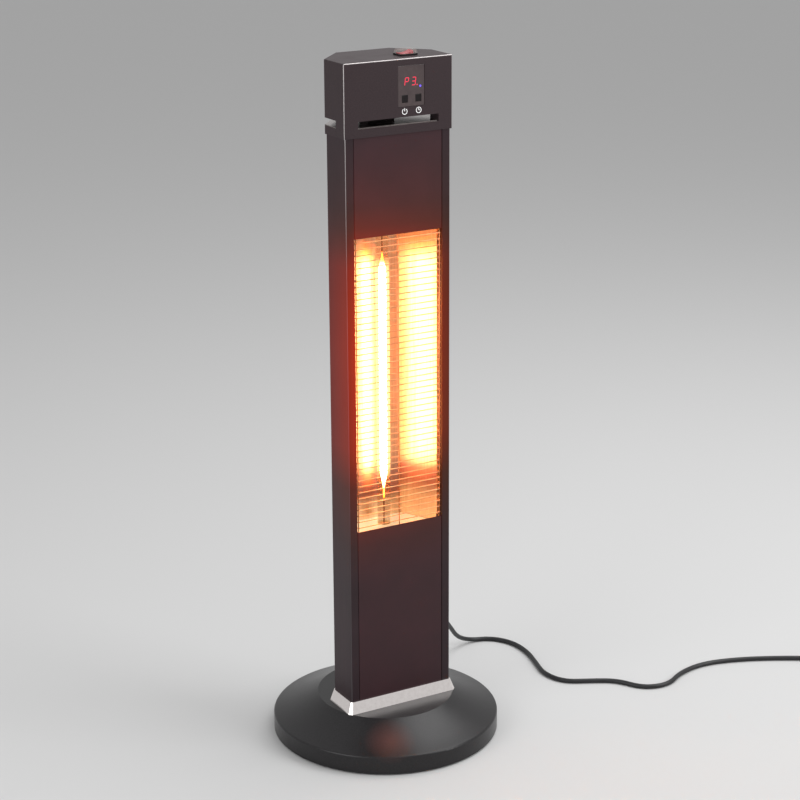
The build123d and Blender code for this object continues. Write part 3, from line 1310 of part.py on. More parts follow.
# A flat strap closed round all turns, opposite the side where the cord enters.
ends_across = [abs((end - coil_centre).dot(coil_right)) for start, middle, end in half_turns[:5]]
bundle_in = min(ends_across) - CORD_DIAMETER / 2
TIE_WALL = 0.8
TIE_WIDTH = 9.0
tie_outer = COIL_OUTER_RADIUS + CORD_DIAMETER / 2 + 0.4
tie_inner = bundle_in - 0.9
tie_top = COIL_Z + COIL_PITCH + CORD_DIAMETER / 2 + 0.3
tie_bottom = TIE_WALL + 0.1
with BuildPart() as cord_tie:
    tie_plane = Plane(origin=(coil_centre.X, coil_centre.Y, 0), x_dir=-coil_right, z_dir=coil_ahead)
    with BuildSketch(tie_plane.offset(-TIE_WIDTH / 2)):
        with Locations(((tie_inner + tie_outer) / 2, (tie_top + tie_bottom) / 2)):
            RectangleRounded(tie_outer - tie_inner + 2 * TIE_WALL, tie_top - tie_bottom + 2 * TIE_WALL, 1.5)
            RectangleRounded(tie_outer - tie_inner, tie_top - tie_bottom, 0.7, mode=Mode.SUBTRACT)
    extrude(amount=TIE_WIDTH)
keep(cord_tie, "cord_tie")

# Round plug with two pins, lying on the rim of its face and the back of its grip.
PLUG_FACE_RADIUS = 18.5
PLUG_TILT = 8.6
PLUG_LENGTH = 58.0
PLUG_RIM_BACK = 49.0
plug_ahead = (coil_ahead.rotate(Axis.Z, -14)).normalized()
tilt_up = radians(PLUG_TILT)
plug_axis_out = plug_ahead * cos(tilt_up) + Vector(0, 0, sin(tilt_up))
neck_z = PLUG_FACE_RADIUS * cos(tilt_up) - PLUG_RIM_BACK * sin(tilt_up) + 0.05
LEAD_RUN = 20.0
lead_mid = coil_ahead.rotate(Axis.Z, -7)
lead_turn = coil_end + coil_ahead * LEAD_RUN
lead_low = lead_turn + lead_mid * LEAD_RUN
neck = Vector(lead_low.X, lead_low.Y, 0) + plug_ahead * LEAD_RUN + Vector(0, 0, neck_z)
lead_low = Vector(lead_low.X, lead_low.Y, neck_z - LEAD_RUN * tan(tilt_up))
PLUG_ROUTE = [tuple(coil_end), tuple(lead_turn), tuple(lead_low), tuple(neck)]
plug_radii = route_radii(PLUG_ROUTE)
print("plug lead route", [tuple(round(v, 1) for v in point) for point in PLUG_ROUTE])
print("plug lead radii", [round(r) for r in plug_radii])
with BuildPart() as plug_lead:
    add(swept_tube(PLUG_ROUTE, plug_radii, CORD_DIAMETER / 2))
lead_length = cord_length(PLUG_ROUTE, plug_radii)
report_tube("plug lead", plug_lead, lead_length)
print(f"whole cord {free_length + coil_length + lead_length:.0f} mm")
keep(plug_lead, "plug_lead")

plug_side = Vector(plug_ahead.Y, -plug_ahead.X, 0)
plug_plane = Plane(origin=neck, x_dir=plug_axis_out, z_dir=plug_side)
with BuildPart() as plug_body:
    with BuildSketch(plug_plane):
        with BuildLine():
            Polyline((PLUG_LENGTH, 0), (0, 0), (0, 4.4), (16, 6.6), (18, 9))
            ThreePointArc((18, 9), (21, 13.2), (26, 15))
            Line((26, 15), (40, 15.6))
            ThreePointArc((40, 15.6), (45.5, 16.2), (PLUG_RIM_BACK, PLUG_FACE_RADIUS))
            Polyline((PLUG_RIM_BACK, PLUG_FACE_RADIUS), (PLUG_LENGTH, PLUG_FACE_RADIUS), (PLUG_LENGTH, 0))
        make_face()
    revolve(axis=Axis(neck, plug_axis_out))
    # earthing channels on two sides of the face
    face_middle = neck + plug_axis_out * PLUG_LENGTH
    with BuildSketch(Plane(origin=face_middle, x_dir=plug_side, z_dir=plug_axis_out)):
        with Locations((0, PLUG_FACE_RADIUS), (0, -PLUG_FACE_RADIUS)):
            Rectangle(6, 5)
    extrude(amount=-8, mode=Mode.SUBTRACT)
keep(plug_body, "plug_body")

PIN_RADIUS = 2.4
PIN_LENGTH = 19.0
PIN_SPACING = 19.0
with BuildPart() as plug_pins:
    with BuildSketch(Plane(origin=face_middle, x_dir=plug_side, z_dir=plug_axis_out)):
        with Locations((-PIN_SPACING / 2, 0), (PIN_SPACING / 2, 0)):
            Circle(PIN_RADIUS)
    extrude(amount=PIN_LENGTH)
    pin_tips = plug_pins.faces().filter_by(GeomType.PLANE).sort_by(Axis(face_middle, plug_axis_out))[-2:]
    chamfer(pin_tips.edges(), 0.8)
keep(plug_pins, "plug_pins")

whole = Compound(children=pieces)
print("nodes", len(pieces), "box", whole.bounding_box())
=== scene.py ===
"""Infrared patio heater tower: the finished look around the CAD model, in metres.

Front is towards -Y, up is +Z, and the base stands at the origin on the floor.
"""

# %% [markdown]
# The CAD model is the frame of this scene. It brings one object for each part, already in its
# place, so this file only dresses them: it gives every part the finish of the real one, and it
# swaps a few parts for finer surfaces where the CAD solid is plainer than the eye expects.

from math import cos, pi, radians, sin

import bpy
import numpy as np
from mathutils import Matrix, Vector


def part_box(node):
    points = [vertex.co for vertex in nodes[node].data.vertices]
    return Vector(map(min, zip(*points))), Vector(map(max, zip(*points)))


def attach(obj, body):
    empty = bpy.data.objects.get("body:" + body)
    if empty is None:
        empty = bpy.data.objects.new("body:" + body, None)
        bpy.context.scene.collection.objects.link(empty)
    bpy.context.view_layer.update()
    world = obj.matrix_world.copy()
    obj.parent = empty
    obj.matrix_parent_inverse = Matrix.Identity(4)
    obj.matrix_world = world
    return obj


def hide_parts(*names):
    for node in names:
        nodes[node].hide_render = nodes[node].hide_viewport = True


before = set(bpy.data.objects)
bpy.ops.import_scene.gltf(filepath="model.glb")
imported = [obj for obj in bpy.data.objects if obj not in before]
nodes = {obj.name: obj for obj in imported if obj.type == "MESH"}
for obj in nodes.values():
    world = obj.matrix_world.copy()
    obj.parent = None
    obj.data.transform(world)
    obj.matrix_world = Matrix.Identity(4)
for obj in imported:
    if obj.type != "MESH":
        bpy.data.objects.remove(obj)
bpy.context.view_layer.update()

# %% [markdown]
# The camera comes first, because everything later is judged through it. Its place and its long
# lens were solved from the outline of the photographed tower. The picture was cropped off centre,
# so the lens is shifted a little instead of turned, which keeps the column's edges as they are.

# %% the camera
CAMERA_PLACE = (-1.2785, -2.2823, 1.2938)
HEADING = radians(28.99)
TILT_DOWN = radians(16.66)
ROLL = radians(-0.52)
LENS_MM = 95.22
SHIFT = (0.0332, -0.0459)

camera_data = bpy.data.cameras.new("photo_camera")
camera_data.lens = LENS_MM
camera_data.sensor_width = 36
camera_data.shift_x, camera_data.shift_y = SHIFT
camera_data.clip_end = 100
camera = bpy.data.objects.new("photo_camera", camera_data)
camera.matrix_world = (
    Matrix.Translation(CAMERA_PLACE)
    @ Matrix.Rotation(-HEADING, 4, "Z")
    @ Matrix.Rotation(pi / 2 - TILT_DOWN, 4, "X")
    @ Matrix.Rotation(ROLL, 4, "Z")
)
bpy.context.scene.collection.objects.link(camera)
bpy.context.scene.camera = camera
bpy.context.scene.view_settings.view_transform = "Standard"
print("camera", round(Vector(CAMERA_PLACE).length, 2), "m from the base")

# %% [markdown]
# The mains cord is one flexible round cable, so it is one smooth curve: a NURBS spline with a
# round bevel. A chain of short cylinders would be easier to place, but it would break at every
# bend. The control points are the corners of the CAD route. The cord falls from the gland at the
# back, wanders over the floor, and the length that the photograph doesn't show is wound into a
# round coil.

# %% the route of the cord on the floor
CORD_DIAMETER = 0.0065
CORD_ROUTE = [
    (0.07806, 0.04476, 0.106),
    (0.1001, 0.0652, 0.106),
    (0.1295, 0.0885, 0.098),
    (0.158, 0.1125, 0.079),
    (0.184, 0.136, 0.050),
    (0.210, 0.158, 0.019),
    (0.240, 0.170, 0.0033),
    (0.270, 0.160, 0.0033),
    (0.289, 0.131, 0.0033),
    (0.290, 0.093, 0.0033),
    (0.280, 0.055, 0.0033),
    (0.269, 0.018, 0.0033),
    (0.279, -0.018, 0.0033),
    (0.314, -0.035, 0.0033),
    (0.346, -0.053, 0.0033),
    (0.364, -0.091, 0.0033),
    (0.402, -0.100, 0.0033),
    (0.436, -0.078, 0.0033),
    (0.484, -0.068, 0.0033),
    (0.538, -0.082, 0.0033),
    (0.592, -0.108, 0.0033),
    (0.642, -0.141, 0.0043),
    (0.670, -0.163, 0.0043),
]
PLUG_ROUTE = [
    (0.6799, -0.1714, 0.0113),
    (0.6957, -0.1838, 0.0113),
    (0.7098, -0.1979, 0.0080),
    (0.7220, -0.2137, 0.0110),
]

# %% the turns of the coil
# Half turns about two centres: in on the floor, up one layer, and out again. An order-3 spline
# with twelve points a turn runs inside its control points, so these stand a little further out.
COIL_OUTER_RADIUS = 0.040
COIL_PITCH = 0.007
POINTS_PER_HALF_TURN = 6
HALF_TURNS_IN, HALF_TURNS_OUT = 5, 3
SPLINE_SHRINK = cos(pi / (2 * POINTS_PER_HALF_TURN))
coil_start = Vector(CORD_ROUTE[-1])
coil_ahead = (coil_start - Vector(CORD_ROUTE[-2])).normalized()
coil_right = Vector((coil_ahead.y, -coil_ahead.x, 0))
coil_centre = coil_start + coil_ahead * CORD_DIAMETER - coil_right * COIL_OUTER_RADIUS
inward_radii = [COIL_OUTER_RADIUS - COIL_PITCH / 2 * k for k in range(HALF_TURNS_IN)]
outward_radii = [inward_radii[-2] + COIL_PITCH / 2 * k for k in range(HALF_TURNS_OUT)]


def coil_turns():
    """Points on circles: radius times cosine and sine of an angle, with a climb on one turn."""
    across, height, side, points = COIL_OUTER_RADIUS, 0.0, 1, []
    for radius in inward_radii + outward_radii:
        rise = COIL_PITCH if radius == inward_radii[-1] else 0.0
        middle = across - side * radius
        for k in range(POINTS_PER_HALF_TURN):
            share = (k + 0.5) / POINTS_PER_HALF_TURN
            reach = radius / SPLINE_SHRINK
            step = coil_right * (middle + side * reach * cos(pi * share))
            points.append(coil_centre + step + coil_ahead * (side * reach * sin(pi * share)))
            points[-1].z = coil_start.z + height + rise * share
        across, height, side = middle - side * radius, height + rise, -side
    return [tuple(point) for point in points]


cord_points = CORD_ROUTE + coil_turns() + PLUG_ROUTE
print(len(cord_points), "control points along the cord")

# %% the cord as one spline
cord_curve = bpy.data.curves.new("mains_cord_curve", "CURVE")
cord_curve.dimensions = "3D"
cord_curve.bevel_depth = 1.0
cord_curve.bevel_resolution = 3
cord_curve.resolution_u = 6
cord_curve.use_fill_caps = True
cord_spline = cord_curve.splines.new("NURBS")
cord_spline.points.add(len(cord_points) - 1)
point_count = len(cord_points)
weighted_points = np.column_stack([cord_points, np.ones(point_count)])
cord_spline.points.foreach_set("co", weighted_points.ravel())
cord_spline.points.foreach_set("radius", np.full(point_count, CORD_DIAMETER / 2))
cord_spline.order_u = 3
cord_spline.use_endpoint_u = True
cord = bpy.data.objects.new("flex_cord", cord_curve)
bpy.context.scene.collection.objects.link(cord)
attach(cord, "tower")
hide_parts("mains_cord", "cord_coil", "plug_lead")

# %% [markdown]
# A few helpers carry the rest of the file. Colours are read off as the hex values that a paint
# program shows, and one function turns them into the linear numbers that light works with. Sizes
# of grain are given in millimetres, and a texture counts waves per metre, so one function turns
# one into the other.


# %% colour, size and node helpers
def linear(hex_colour):
    """sRGB hex to linear: over 12.92 in the dark, else a power of 2.4, as sRGB is defined."""
    channels = np.array([int(hex_colour[i : i + 2], 16) for i in (1, 3, 5)]) / 255
    curve = np.where(channels <= 0.04045, channels / 12.92, ((channels + 0.055) / 1.055) ** 2.4)
    return (*curve, 1.0)


def per_metre(size_mm):
    """Texture scale for a grain of this size in millimetres."""
    return 1000 / size_mm


def add_node(tree, kind, links=(), stops=(), **settings):
    """Adds one node, sets its inputs or properties by name and its ramp stops, and links it."""
    node = tree.nodes.new(kind)
    for name, value in settings.items():
        socket_name = name.replace("_", " ").title()
        if socket_name in node.inputs:
            node.inputs[socket_name].default_value = value
        else:
            setattr(node, name, value)
    for name, source in dict(links).items():
        tree.links.new(source, node.inputs[name])
    for k, (place, hex_colour) in enumerate(stops):
        elements = node.color_ramp.elements
        stop = elements[k] if k < 2 else elements.new(place)
        stop.position = place
        stop.color = linear(hex_colour)
    return node


def new_finish(name, **sockets):
    """A Principled material with these values on the shader's own sockets."""
    material = bpy.data.materials.new(name)
    material.use_nodes = True
    shader = material.node_tree.nodes["Principled BSDF"]
    for socket, value in sockets.items():
        shader.inputs[socket.replace("_", " ")].default_value = value
    coords = add_node(material.node_tree, "ShaderNodeTexCoord").outputs["Object"]
    return material, material.node_tree, shader.inputs, coords


def grade(tree, skin, level, stops, gloss=None, gloss_level=None):
    """A pattern's level picks the colour between stops, and the same or another the roughness."""
    tint = add_node(tree, "ShaderNodeValToRGB", {"Fac": level}, stops=stops)
    tree.links.new(tint.outputs["Color"], skin["Base Color"])
    if gloss:
        source = gloss_level or level
        spread = add_node(
            tree, "ShaderNodeMapRange", {"Value": source}, to_min=gloss[0], to_max=gloss[1]
        )
        tree.links.new(spread.outputs["Result"], skin["Roughness"])
    return tint.outputs["Color"]


def dress(material, *names):
    """Gives these CAD parts a material."""
    for name in names:
        nodes[name].data.materials.clear()
        nodes[name].data.materials.append(material)
    print(material.name, "on", ", ".join(names))


# %% [markdown]
# The base cover is steel sheet with a satin powder coat. Powder melts into tiny hills, which
# breaks the reflection of the room into a soft grey sheen and shows as a fine grain near the
# light. The hills are a bump from the same noise that tints the paint, because dents in the mesh
# would need millions of faces. The grain of the real coat is half a millimetre and would vanish
# here, so it is drawn at two. The burning lamp's reflection on the front of the cone is painted:
# one soft red spot that the paint gives off as light.

# %% powder coat on the base
powder_coat, tree, skin, place = new_finish(
    "powder_coated_steel", Specular_IOR_Level=0.4, Emission_Strength=1.0
)
grain = add_node(tree, "ShaderNodeTexNoise", {"Vector": place}, scale=per_metre(2.0), detail=3.0)
patches = add_node(
    tree, "ShaderNodeTexNoise", {"Vector": place}, scale=per_metre(60.0), detail=2.0
)
grade(
    tree,
    skin,
    grain.outputs["Fac"],
    [(0.3, "#131113"), (0.72, "#201e20")],
    gloss=(0.25, 0.35),
    gloss_level=patches.outputs["Fac"],
)
bump = add_node(
    tree, "ShaderNodeBump", {"Height": grain.outputs["Fac"]}, strength=0.35, distance=0.0004
)
# Painted reflection of the burning lamp: a soft red spot on the front of the cone, given off as
# light.
PAINTED_REFLECTION_SPOT = (-0.056, -0.112, 0.040)
SPOT_RADIUS = 0.036
spot = add_node(
    tree,
    "ShaderNodeMapping",
    {"Vector": place},
    location=[-v / SPOT_RADIUS for v in PAINTED_REFLECTION_SPOT],
    scale=[1 / SPOT_RADIUS] * 3,
)
fade = add_node(
    tree,
    "ShaderNodeTexGradient",
    {"Vector": spot.outputs["Vector"]},
    gradient_type="SPHERICAL",
)
painted_lamp_reflection = add_node(
    tree,
    "ShaderNodeValToRGB",
    {"Fac": fade.outputs["Fac"]},
    stops=[(0.0, "#000000"), (1.0, "#4e2822")],
)
tree.links.new(bump.outputs["Normal"], skin["Normal"])
tree.links.new(painted_lamp_reflection.outputs["Color"], skin["Emission Color"])
dress(powder_coat, "base_cover")

# %% [markdown]
# Under the cover lie the parts that make the tower heavy and hold it together. Cast iron comes
# out of a sand mould, so its paint is matt and pitted by sand grains. Steel plates and screws are
# zinc plated: a grey metal broken into faint crystals. Moulded rubber feet are matt black and
# gather grey dust. One pattern is enough for each, because most of them show only from below or
# not at all.

# %% painted cast iron of the weight
cast_iron, tree, skin, place = new_finish("painted_cast_iron", Roughness=0.7)
sand = add_node(tree, "ShaderNodeTexNoise", {"Vector": place}, scale=per_metre(1.5), detail=6.0)
grade(tree, skin, sand.outputs["Fac"], [(0.35, "#1d1e20"), (0.7, "#34363a")])
bump = add_node(
    tree, "ShaderNodeBump", {"Height": sand.outputs["Fac"]}, strength=0.6, distance=0.0008
)
tree.links.new(bump.outputs["Normal"], skin["Normal"])
dress(cast_iron, "base_weight")

# %% zinc plated plates and screws
zinc_plate, tree, skin, place = new_finish("zinc_plated_steel", Metallic=1.0, Roughness=0.35)
spangle = add_node(tree, "ShaderNodeTexVoronoi", {"Vector": place}, scale=per_metre(3.0))
crystals = spangle.outputs["Distance"]
grade(tree, skin, crystals, [(0.0, "#b4b8ba"), (1.0, "#8f9498")], gloss=(0.3, 0.45))
dress(
    zinc_plate,
    *("base_plate", "base_screws", "pedestal_bolts", "foot_plate", "foot_plate_screws"),
    *("tray_screws", "housing_screws", "heat_shield", "lower_lamp_bracket", "upper_lamp_bracket"),
)

# %% moulded rubber feet
rubber, tree, skin, place = new_finish("moulded_rubber", Roughness=0.8)
dust = add_node(tree, "ShaderNodeTexNoise", {"Vector": place}, scale=per_metre(4.0), detail=4.0)
grade(tree, skin, dust.outputs["Fac"], [(0.4, "#161616"), (0.8, "#2c2b29")])
dress(rubber, "rubber_feet")

# %% [markdown]
# Chrome plating is a bright mirror with a slightly warm, pale tone here. It has almost no colour
# of its own: what the eye reads as light and dark is the room in it. So the finish is nearly a
# plain mirror, and fine wiping marks only make it a little softer here and there.

# %% chrome on the skirt
chrome, tree, skin, place = new_finish("chrome_plated_steel", Metallic=1.0, Roughness=0.12)
wiped = add_node(
    tree, "ShaderNodeTexNoise", {"Vector": place}, scale=per_metre(5.0), detail=5.0, roughness=0.6
)
grade(tree, skin, wiped.outputs["Fac"], [(0.3, "#ebe4e2"), (0.7, "#f2ecea")], gloss=(0.11, 0.13))
dress(chrome, "chrome_skirt")

# %% [markdown]
# The column is an aluminium extrusion with a baked satin paint. The die leaves faint lines along
# it, so its texture is stretched upwards: thin across, long along. Real lines stand closer than
# these, which are drawn as coarse as they need to show. The front panels are folded steel in the
# same paint. The paint is matt enough to stay dark under a white room. It is rubbed to bare metal
# along the edges that hands and cartons touch, and that thin band also carries a painted
# highlight, brighter towards the top. While the lamp burns, its red light lies on the paint beside
# and above
# the window as painted light: lamps placed to cast that light would also light the guard and the
# floor, so the paint gives it off itself. The paint's own colour there is tinted warm as painted
# lamp light, and darkened a little towards the bottom as painted shade. The light and the tint
# both follow tables of colour along an axis.


# %% colour along an axis, and rubbed, highlit edges
def colour_along(tree, place, axis, table):
    """Straight-line blend between (metres, colour) rows; the first two are the table's ends."""
    low, high = table[0][0], table[1][0]
    parts = add_node(tree, "ShaderNodeSeparateXYZ", {"Vector": place})
    share = add_node(
        tree, "ShaderNodeMapRange", {"Value": parts.outputs[axis]}, from_min=low, from_max=high
    )
    stops = [((reach - low) / (high - low), colour) for reach, colour in table]
    ramp = add_node(tree, "ShaderNodeValToRGB", {"Fac": share.outputs["Result"]}, stops=stops)
    return ramp.outputs["Color"]


FULL_WEAR_AND_HIGHLIGHT_SHARE = 0.6


def near_edges(tree, place, half_width, front, top, width):
    """1 within a width of the edges where the front meets a side |x| or the top, 0 elsewhere."""
    parts = add_node(tree, "ShaderNodeSeparateXYZ", {"Vector": place}).outputs
    side = add_node(tree, "ShaderNodeMath", {0: parts["X"]}, operation="ABSOLUTE").outputs[0]
    faces = [(side, half_width, -1), (parts["Y"], front, 1), (parts["Z"], top, -1)]
    near = [
        add_node(
            tree,
            "ShaderNodeMapRange",
            {"Value": source},
            from_min=face + inward * width,
            from_max=face + inward * width * FULL_WEAR_AND_HIGHLIGHT_SHARE,
        ).outputs["Result"]
        for source, face, inward in faces
    ]
    upright, top_edge = [
        add_node(tree, "ShaderNodeMath", {0: one, 1: other}, operation="MULTIPLY").outputs[0]
        for one, other in ((near[0], near[1]), (near[1], near[2]))
    ]
    either = add_node(tree, "ShaderNodeMath", {0: upright, 1: top_edge}, operation="MAXIMUM")
    return either.outputs[0]


# A Mix node has a socket for each type of value, and these are the ones for colours.
MIX_SHARE, MIX_FROM, MIX_TO, MIX_RESULT = 0, 6, 7, 2


def rub_and_highlight_edges(tree, skin, colour, mask, bright):
    """Mixes the finish towards bright bare metal where the mask is 1: rubbed wear with a painted
    highlight.
    """
    mix = add_node(
        tree,
        "ShaderNodeMix",
        {MIX_SHARE: mask, MIX_FROM: colour, MIX_TO: bright},
        data_type="RGBA",
    )
    tree.links.new(mix.outputs[MIX_RESULT], skin["Base Color"])
    tree.links.new(mask, skin["Metallic"])


# %% painted lamp light, warm tint, and rubbed edges with a painted highlight along the column
LAMP_LIGHT = [
    (0.230, "#000000"),
    (0.810, "#000000"),
    (0.282, "#1c0200"),
    (0.310, "#340400"),
    (0.337, "#440600"),
    (0.364, "#500900"),
    (0.391, "#7e1000"),
    (0.418, "#981300"),
    (0.471, "#a01600"),
    (0.550, "#a81800"),
    (0.602, "#9f1600"),
    (0.653, "#911200"),
    (0.679, "#690c00"),
    (0.704, "#450700"),
    (0.729, "#2c0400"),
    (0.779, "#100000"),
]
LIGHT_ACROSS = [(-0.075, "#d7d7d7"), (0.075, "#7e7e7e"), (-0.063, "#ffffff"), (0.063, "#aaaaaa")]
LIGHT_BACKWARDS = [
    (-0.043, "#ffffff"),
    (0.022, "#000000"),
    (-0.0405, "#ededed"),
    (0.003, "#b4b4b4"),
    (0.011, "#5a5a5a"),
]
# Painted lamp light in the paint's own colour: a warm tint beside and above the window, and a
# slight painted shade towards the bottom.
LAMP_TINT_AND_SHADE = [
    (0.100, "#eeeeee"),
    (0.817, "#ffffff"),
    (0.250, "#f2eeea"),
    (0.330, "#f8e4b8"),
    (0.400, "#ffd03c"),
    (0.620, "#ffd03c"),
    (0.690, "#ffe8a8"),
    (0.740, "#fff8e8"),
]
# Width of the rubbed edge band, and its colour by height: bare metal from wear, with a painted
# highlight that is brighter towards the top.
EDGE_WEAR_AND_HIGHLIGHT_WIDTH = 0.0011
EDGE_WEAR_AND_HIGHLIGHT_COLOUR = [
    (0.056, "#5e5a5c"),
    (0.905, "#b8b2b2"),
    (0.300, "#565052"),
    (0.640, "#6a5c5a"),
    (0.760, "#948e8e"),
]
column_low, column_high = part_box("column_extrusion")
print("column from", round(column_low.z, 3), "to", round(column_high.z, 3), "m")

# %% satin paint on the column
DIE_LINE_MM = 1.6
DIE_LINE_LENGTH = 0.02
OUT_OF_REACH = 2.0


def satin_paint(name, dark, light, low_gloss, high_gloss, lamp_share):
    """Baked satin paint: stretched noise for the lines of the die, patches for handling."""
    paint, tree, skin, place = new_finish(
        name, Specular_IOR_Level=0.22, Emission_Strength=lamp_share
    )
    turned = add_node(
        tree, "ShaderNodeMapping", {"Vector": place}, scale=(1.0, 1.0, DIE_LINE_LENGTH)
    )
    lines = add_node(
        tree,
        "ShaderNodeTexNoise",
        {"Vector": turned.outputs["Vector"]},
        scale=per_metre(DIE_LINE_MM),
        detail=2.0,
    )
    smears = add_node(
        tree, "ShaderNodeTexNoise", {"Vector": place}, scale=per_metre(45.0), detail=4.0
    )
    speck = add_node(
        tree, "ShaderNodeTexNoise", {"Vector": place}, scale=per_metre(1.4), detail=2.0
    )
    tint = grade(
        tree,
        skin,
        smears.outputs["Fac"],
        [(0.25, dark), (0.8, light)],
        gloss=(low_gloss, high_gloss),
        gloss_level=lines.outputs["Fac"],
    )
    bump = add_node(
        tree, "ShaderNodeBump", {"Height": speck.outputs["Fac"]}, strength=0.2, distance=0.0002
    )
    backwards = colour_along(tree, place, "Y", LIGHT_BACKWARDS)
    across = colour_along(tree, place, "X", LIGHT_ACROSS)
    lit = colour_along(tree, place, "Z", LAMP_LIGHT)
    for share in (across, backwards):
        lit = add_node(
            tree, "ShaderNodeVectorMath", {0: lit, 1: share}, operation="MULTIPLY"
        ).outputs["Vector"]
    # The paint's colour takes the warm painted lamp tint and the slight painted shade, fading
    # towards the back.
    painted_tint_and_shade = colour_along(tree, place, "Z", LAMP_TINT_AND_SHADE)
    painted_light_tone = add_node(
        tree,
        "ShaderNodeMix",
        {MIX_SHARE: backwards, MIX_FROM: tint, MIX_TO: painted_tint_and_shade},
        data_type="RGBA",
        blend_type="MULTIPLY",
    )
    # Rubbed bare edges that also carry a painted highlight.
    worn_and_highlit = near_edges(tree, place, column_high.x, column_low.y, OUT_OF_REACH, EDGE_WEAR_AND_HIGHLIGHT_WIDTH)
    shine = colour_along(tree, place, "Z", EDGE_WEAR_AND_HIGHLIGHT_COLOUR)
    rub_and_highlight_edges(tree, skin, painted_light_tone.outputs[MIX_RESULT], worn_and_highlit, shine)
    tree.links.new(lit, skin["Emission Color"])
    tree.links.new(bump.outputs["Normal"], skin["Normal"])
    return paint


column_paint = satin_paint("satin_painted_aluminium", "#2e2125", "#37282d", 0.32, 0.44, 1.0)
panel_paint = satin_paint("satin_painted_steel", "#3a262a", "#43292e", 0.36, 0.48, 1.6)
dress(column_paint, "column_extrusion")
dress(panel_paint, "lower_front_panel", "upper_front_panel")

# %% [markdown]
# The reflector is rolled aluminium with a gold tint, as heaters often have. The lamp stands in
# front of it, so most of what shows in the window is the lamp again, mirrored in the folds. A
# painted gradient would be right from one side only, so the sheet is real metal here, and the
# lamp really lights it. It is brushed enough to spread each image into a band, white in its
# middle and amber at its edge, and its rolling streaks are drawn wider than real ones. Just below
# the burning length the sheet is darkened as painted shade, which ends the bands in a dark zone.
# The plates that close it are duller, and they glow a little for the light that many more bounces
# would bring.


# %% gold tinted sheet of the reflector
def rolled_sheet(name, dark, light, low_gloss, high_gloss, roll_scale, painted_light_tone=None):
    """Rolled metal: noise stretched along the rolling, and painted shade by height if a table is
    given.
    """
    sheet, tree, skin, place = new_finish(name, Metallic=1.0)
    rolled = add_node(tree, "ShaderNodeMapping", {"Vector": place}, scale=roll_scale)
    streaks = add_node(
        tree,
        "ShaderNodeTexNoise",
        {"Vector": rolled.outputs["Vector"]},
        scale=per_metre(2.5),
        detail=3.0,
    )
    tint = grade(
        tree,
        skin,
        streaks.outputs["Fac"],
        [(0.3, dark), (0.75, light)],
        gloss=(low_gloss, high_gloss),
    )
    # Painted shade: the colour is darkened in a band below the burning length.
    if painted_light_tone:
        painted_shade = colour_along(tree, place, "Z", painted_light_tone)
        with_painted_shade = add_node(tree, "ShaderNodeVectorMath", {0: tint, 1: painted_shade}, operation="MULTIPLY")
        tree.links.new(with_painted_shade.outputs["Vector"], skin["Base Color"])
    return sheet


ROLLED_UPWARDS = (1.0, 1.0, 0.05)
ROLLED_ACROSS = (0.05, 1.0, 1.0)
# Painted shade just below the burning length, on the back sheet and on the wings.
SHADE_BELOW_GLOW_BACK = [(0.316, "#ffffff"), (0.372, "#ffffff"), (0.326, "#d4b0b8"), (0.352, "#e0d0dc")]
SHADE_BELOW_GLOW_WING = [(0.325, "#ffffff"), (0.374, "#ffffff"), (0.342, "#d8bcc8"), (0.360, "#d0b0c4")]
mirror_sheet = rolled_sheet(
    "gold_tinted_aluminium", "#e4b88e", "#f0cca6", 0.34, 0.42, ROLLED_UPWARDS, SHADE_BELOW_GLOW_BACK
)
wing_sheet = rolled_sheet(
    "satin_wing_aluminium", "#e6c09c", "#f2d4b4", 0.3, 0.4, ROLLED_UPWARDS, SHADE_BELOW_GLOW_WING
)
end_sheet = rolled_sheet("satin_gold_aluminium", "#eee4d4", "#f8f0e4", 0.3, 0.45, ROLLED_ACROSS)
end_skin = end_sheet.node_tree.nodes["Principled BSDF"].inputs
end_skin["Emission Color"].default_value = linear("#ffe8b4")
end_skin["Emission Strength"].default_value = 0.46
dress(mirror_sheet, "reflector")
dress(wing_sheet, "reflector_wings")
dress(end_sheet, "reflector_floor", "reflector_ceiling")

# %% [markdown]
# The lamp's tube is fused quartz, clear and smooth, and hazed amber by the strand inside. It is
# nearly see-through, and its glow is laid on as light along the burning length, because real
# refraction would add noise and show little more. The caps at its ends and the thermal cut-out
# are glazed steatite, a cream ceramic, and they give off a faint yellow painted light as if the
# lamp lit them.

# %% quartz and ceramic
LIT_TUBE = [
    (0.300, "#3a200a"),
    (0.690, "#5a3614"),
    (0.354, "#301a06"),
    (0.376, "#ffe090"),
    (0.630, "#ffe090"),
    (0.652, "#4e2c0c"),
]
quartz, tree, skin, place = new_finish(
    "fused_quartz", Roughness=0.05, IOR=1.46, Alpha=0.16, Emission_Strength=3.2
)
tree.links.new(colour_along(tree, place, "Z", LIT_TUBE), skin["Emission Color"])
haze = add_node(tree, "ShaderNodeTexNoise", {"Vector": place}, scale=per_metre(15.0), detail=2.0)
grade(tree, skin, haze.outputs["Fac"], [(0.3, "#8a4c1c"), (0.8, "#9c5a26")])
dress(quartz, "lamp_tube")

ceramic, tree, skin, place = new_finish("glazed_steatite", Roughness=0.4, Emission_Strength=0.4)
# Painted light: a faint yellow glow that the ceramic gives off itself, on the cut-out in the head
# too.
skin["Emission Color"].default_value = linear("#ffb040")
pores = add_node(tree, "ShaderNodeTexNoise", {"Vector": place}, scale=per_metre(2.0), detail=5.0)
grade(tree, skin, pores.outputs["Fac"], [(0.3, "#e9e2d4"), (0.7, "#f6f2e8")])
dress(ceramic, "lower_lamp_cap", "upper_lamp_cap", "thermal_cutout")

# %% [markdown]
# Grid surfaces are the workhorse for the new pieces: numpy fills a whole table of points at once,
# one direction of the table running round the piece and the other along it. The faces follow from
# the table's own numbering.


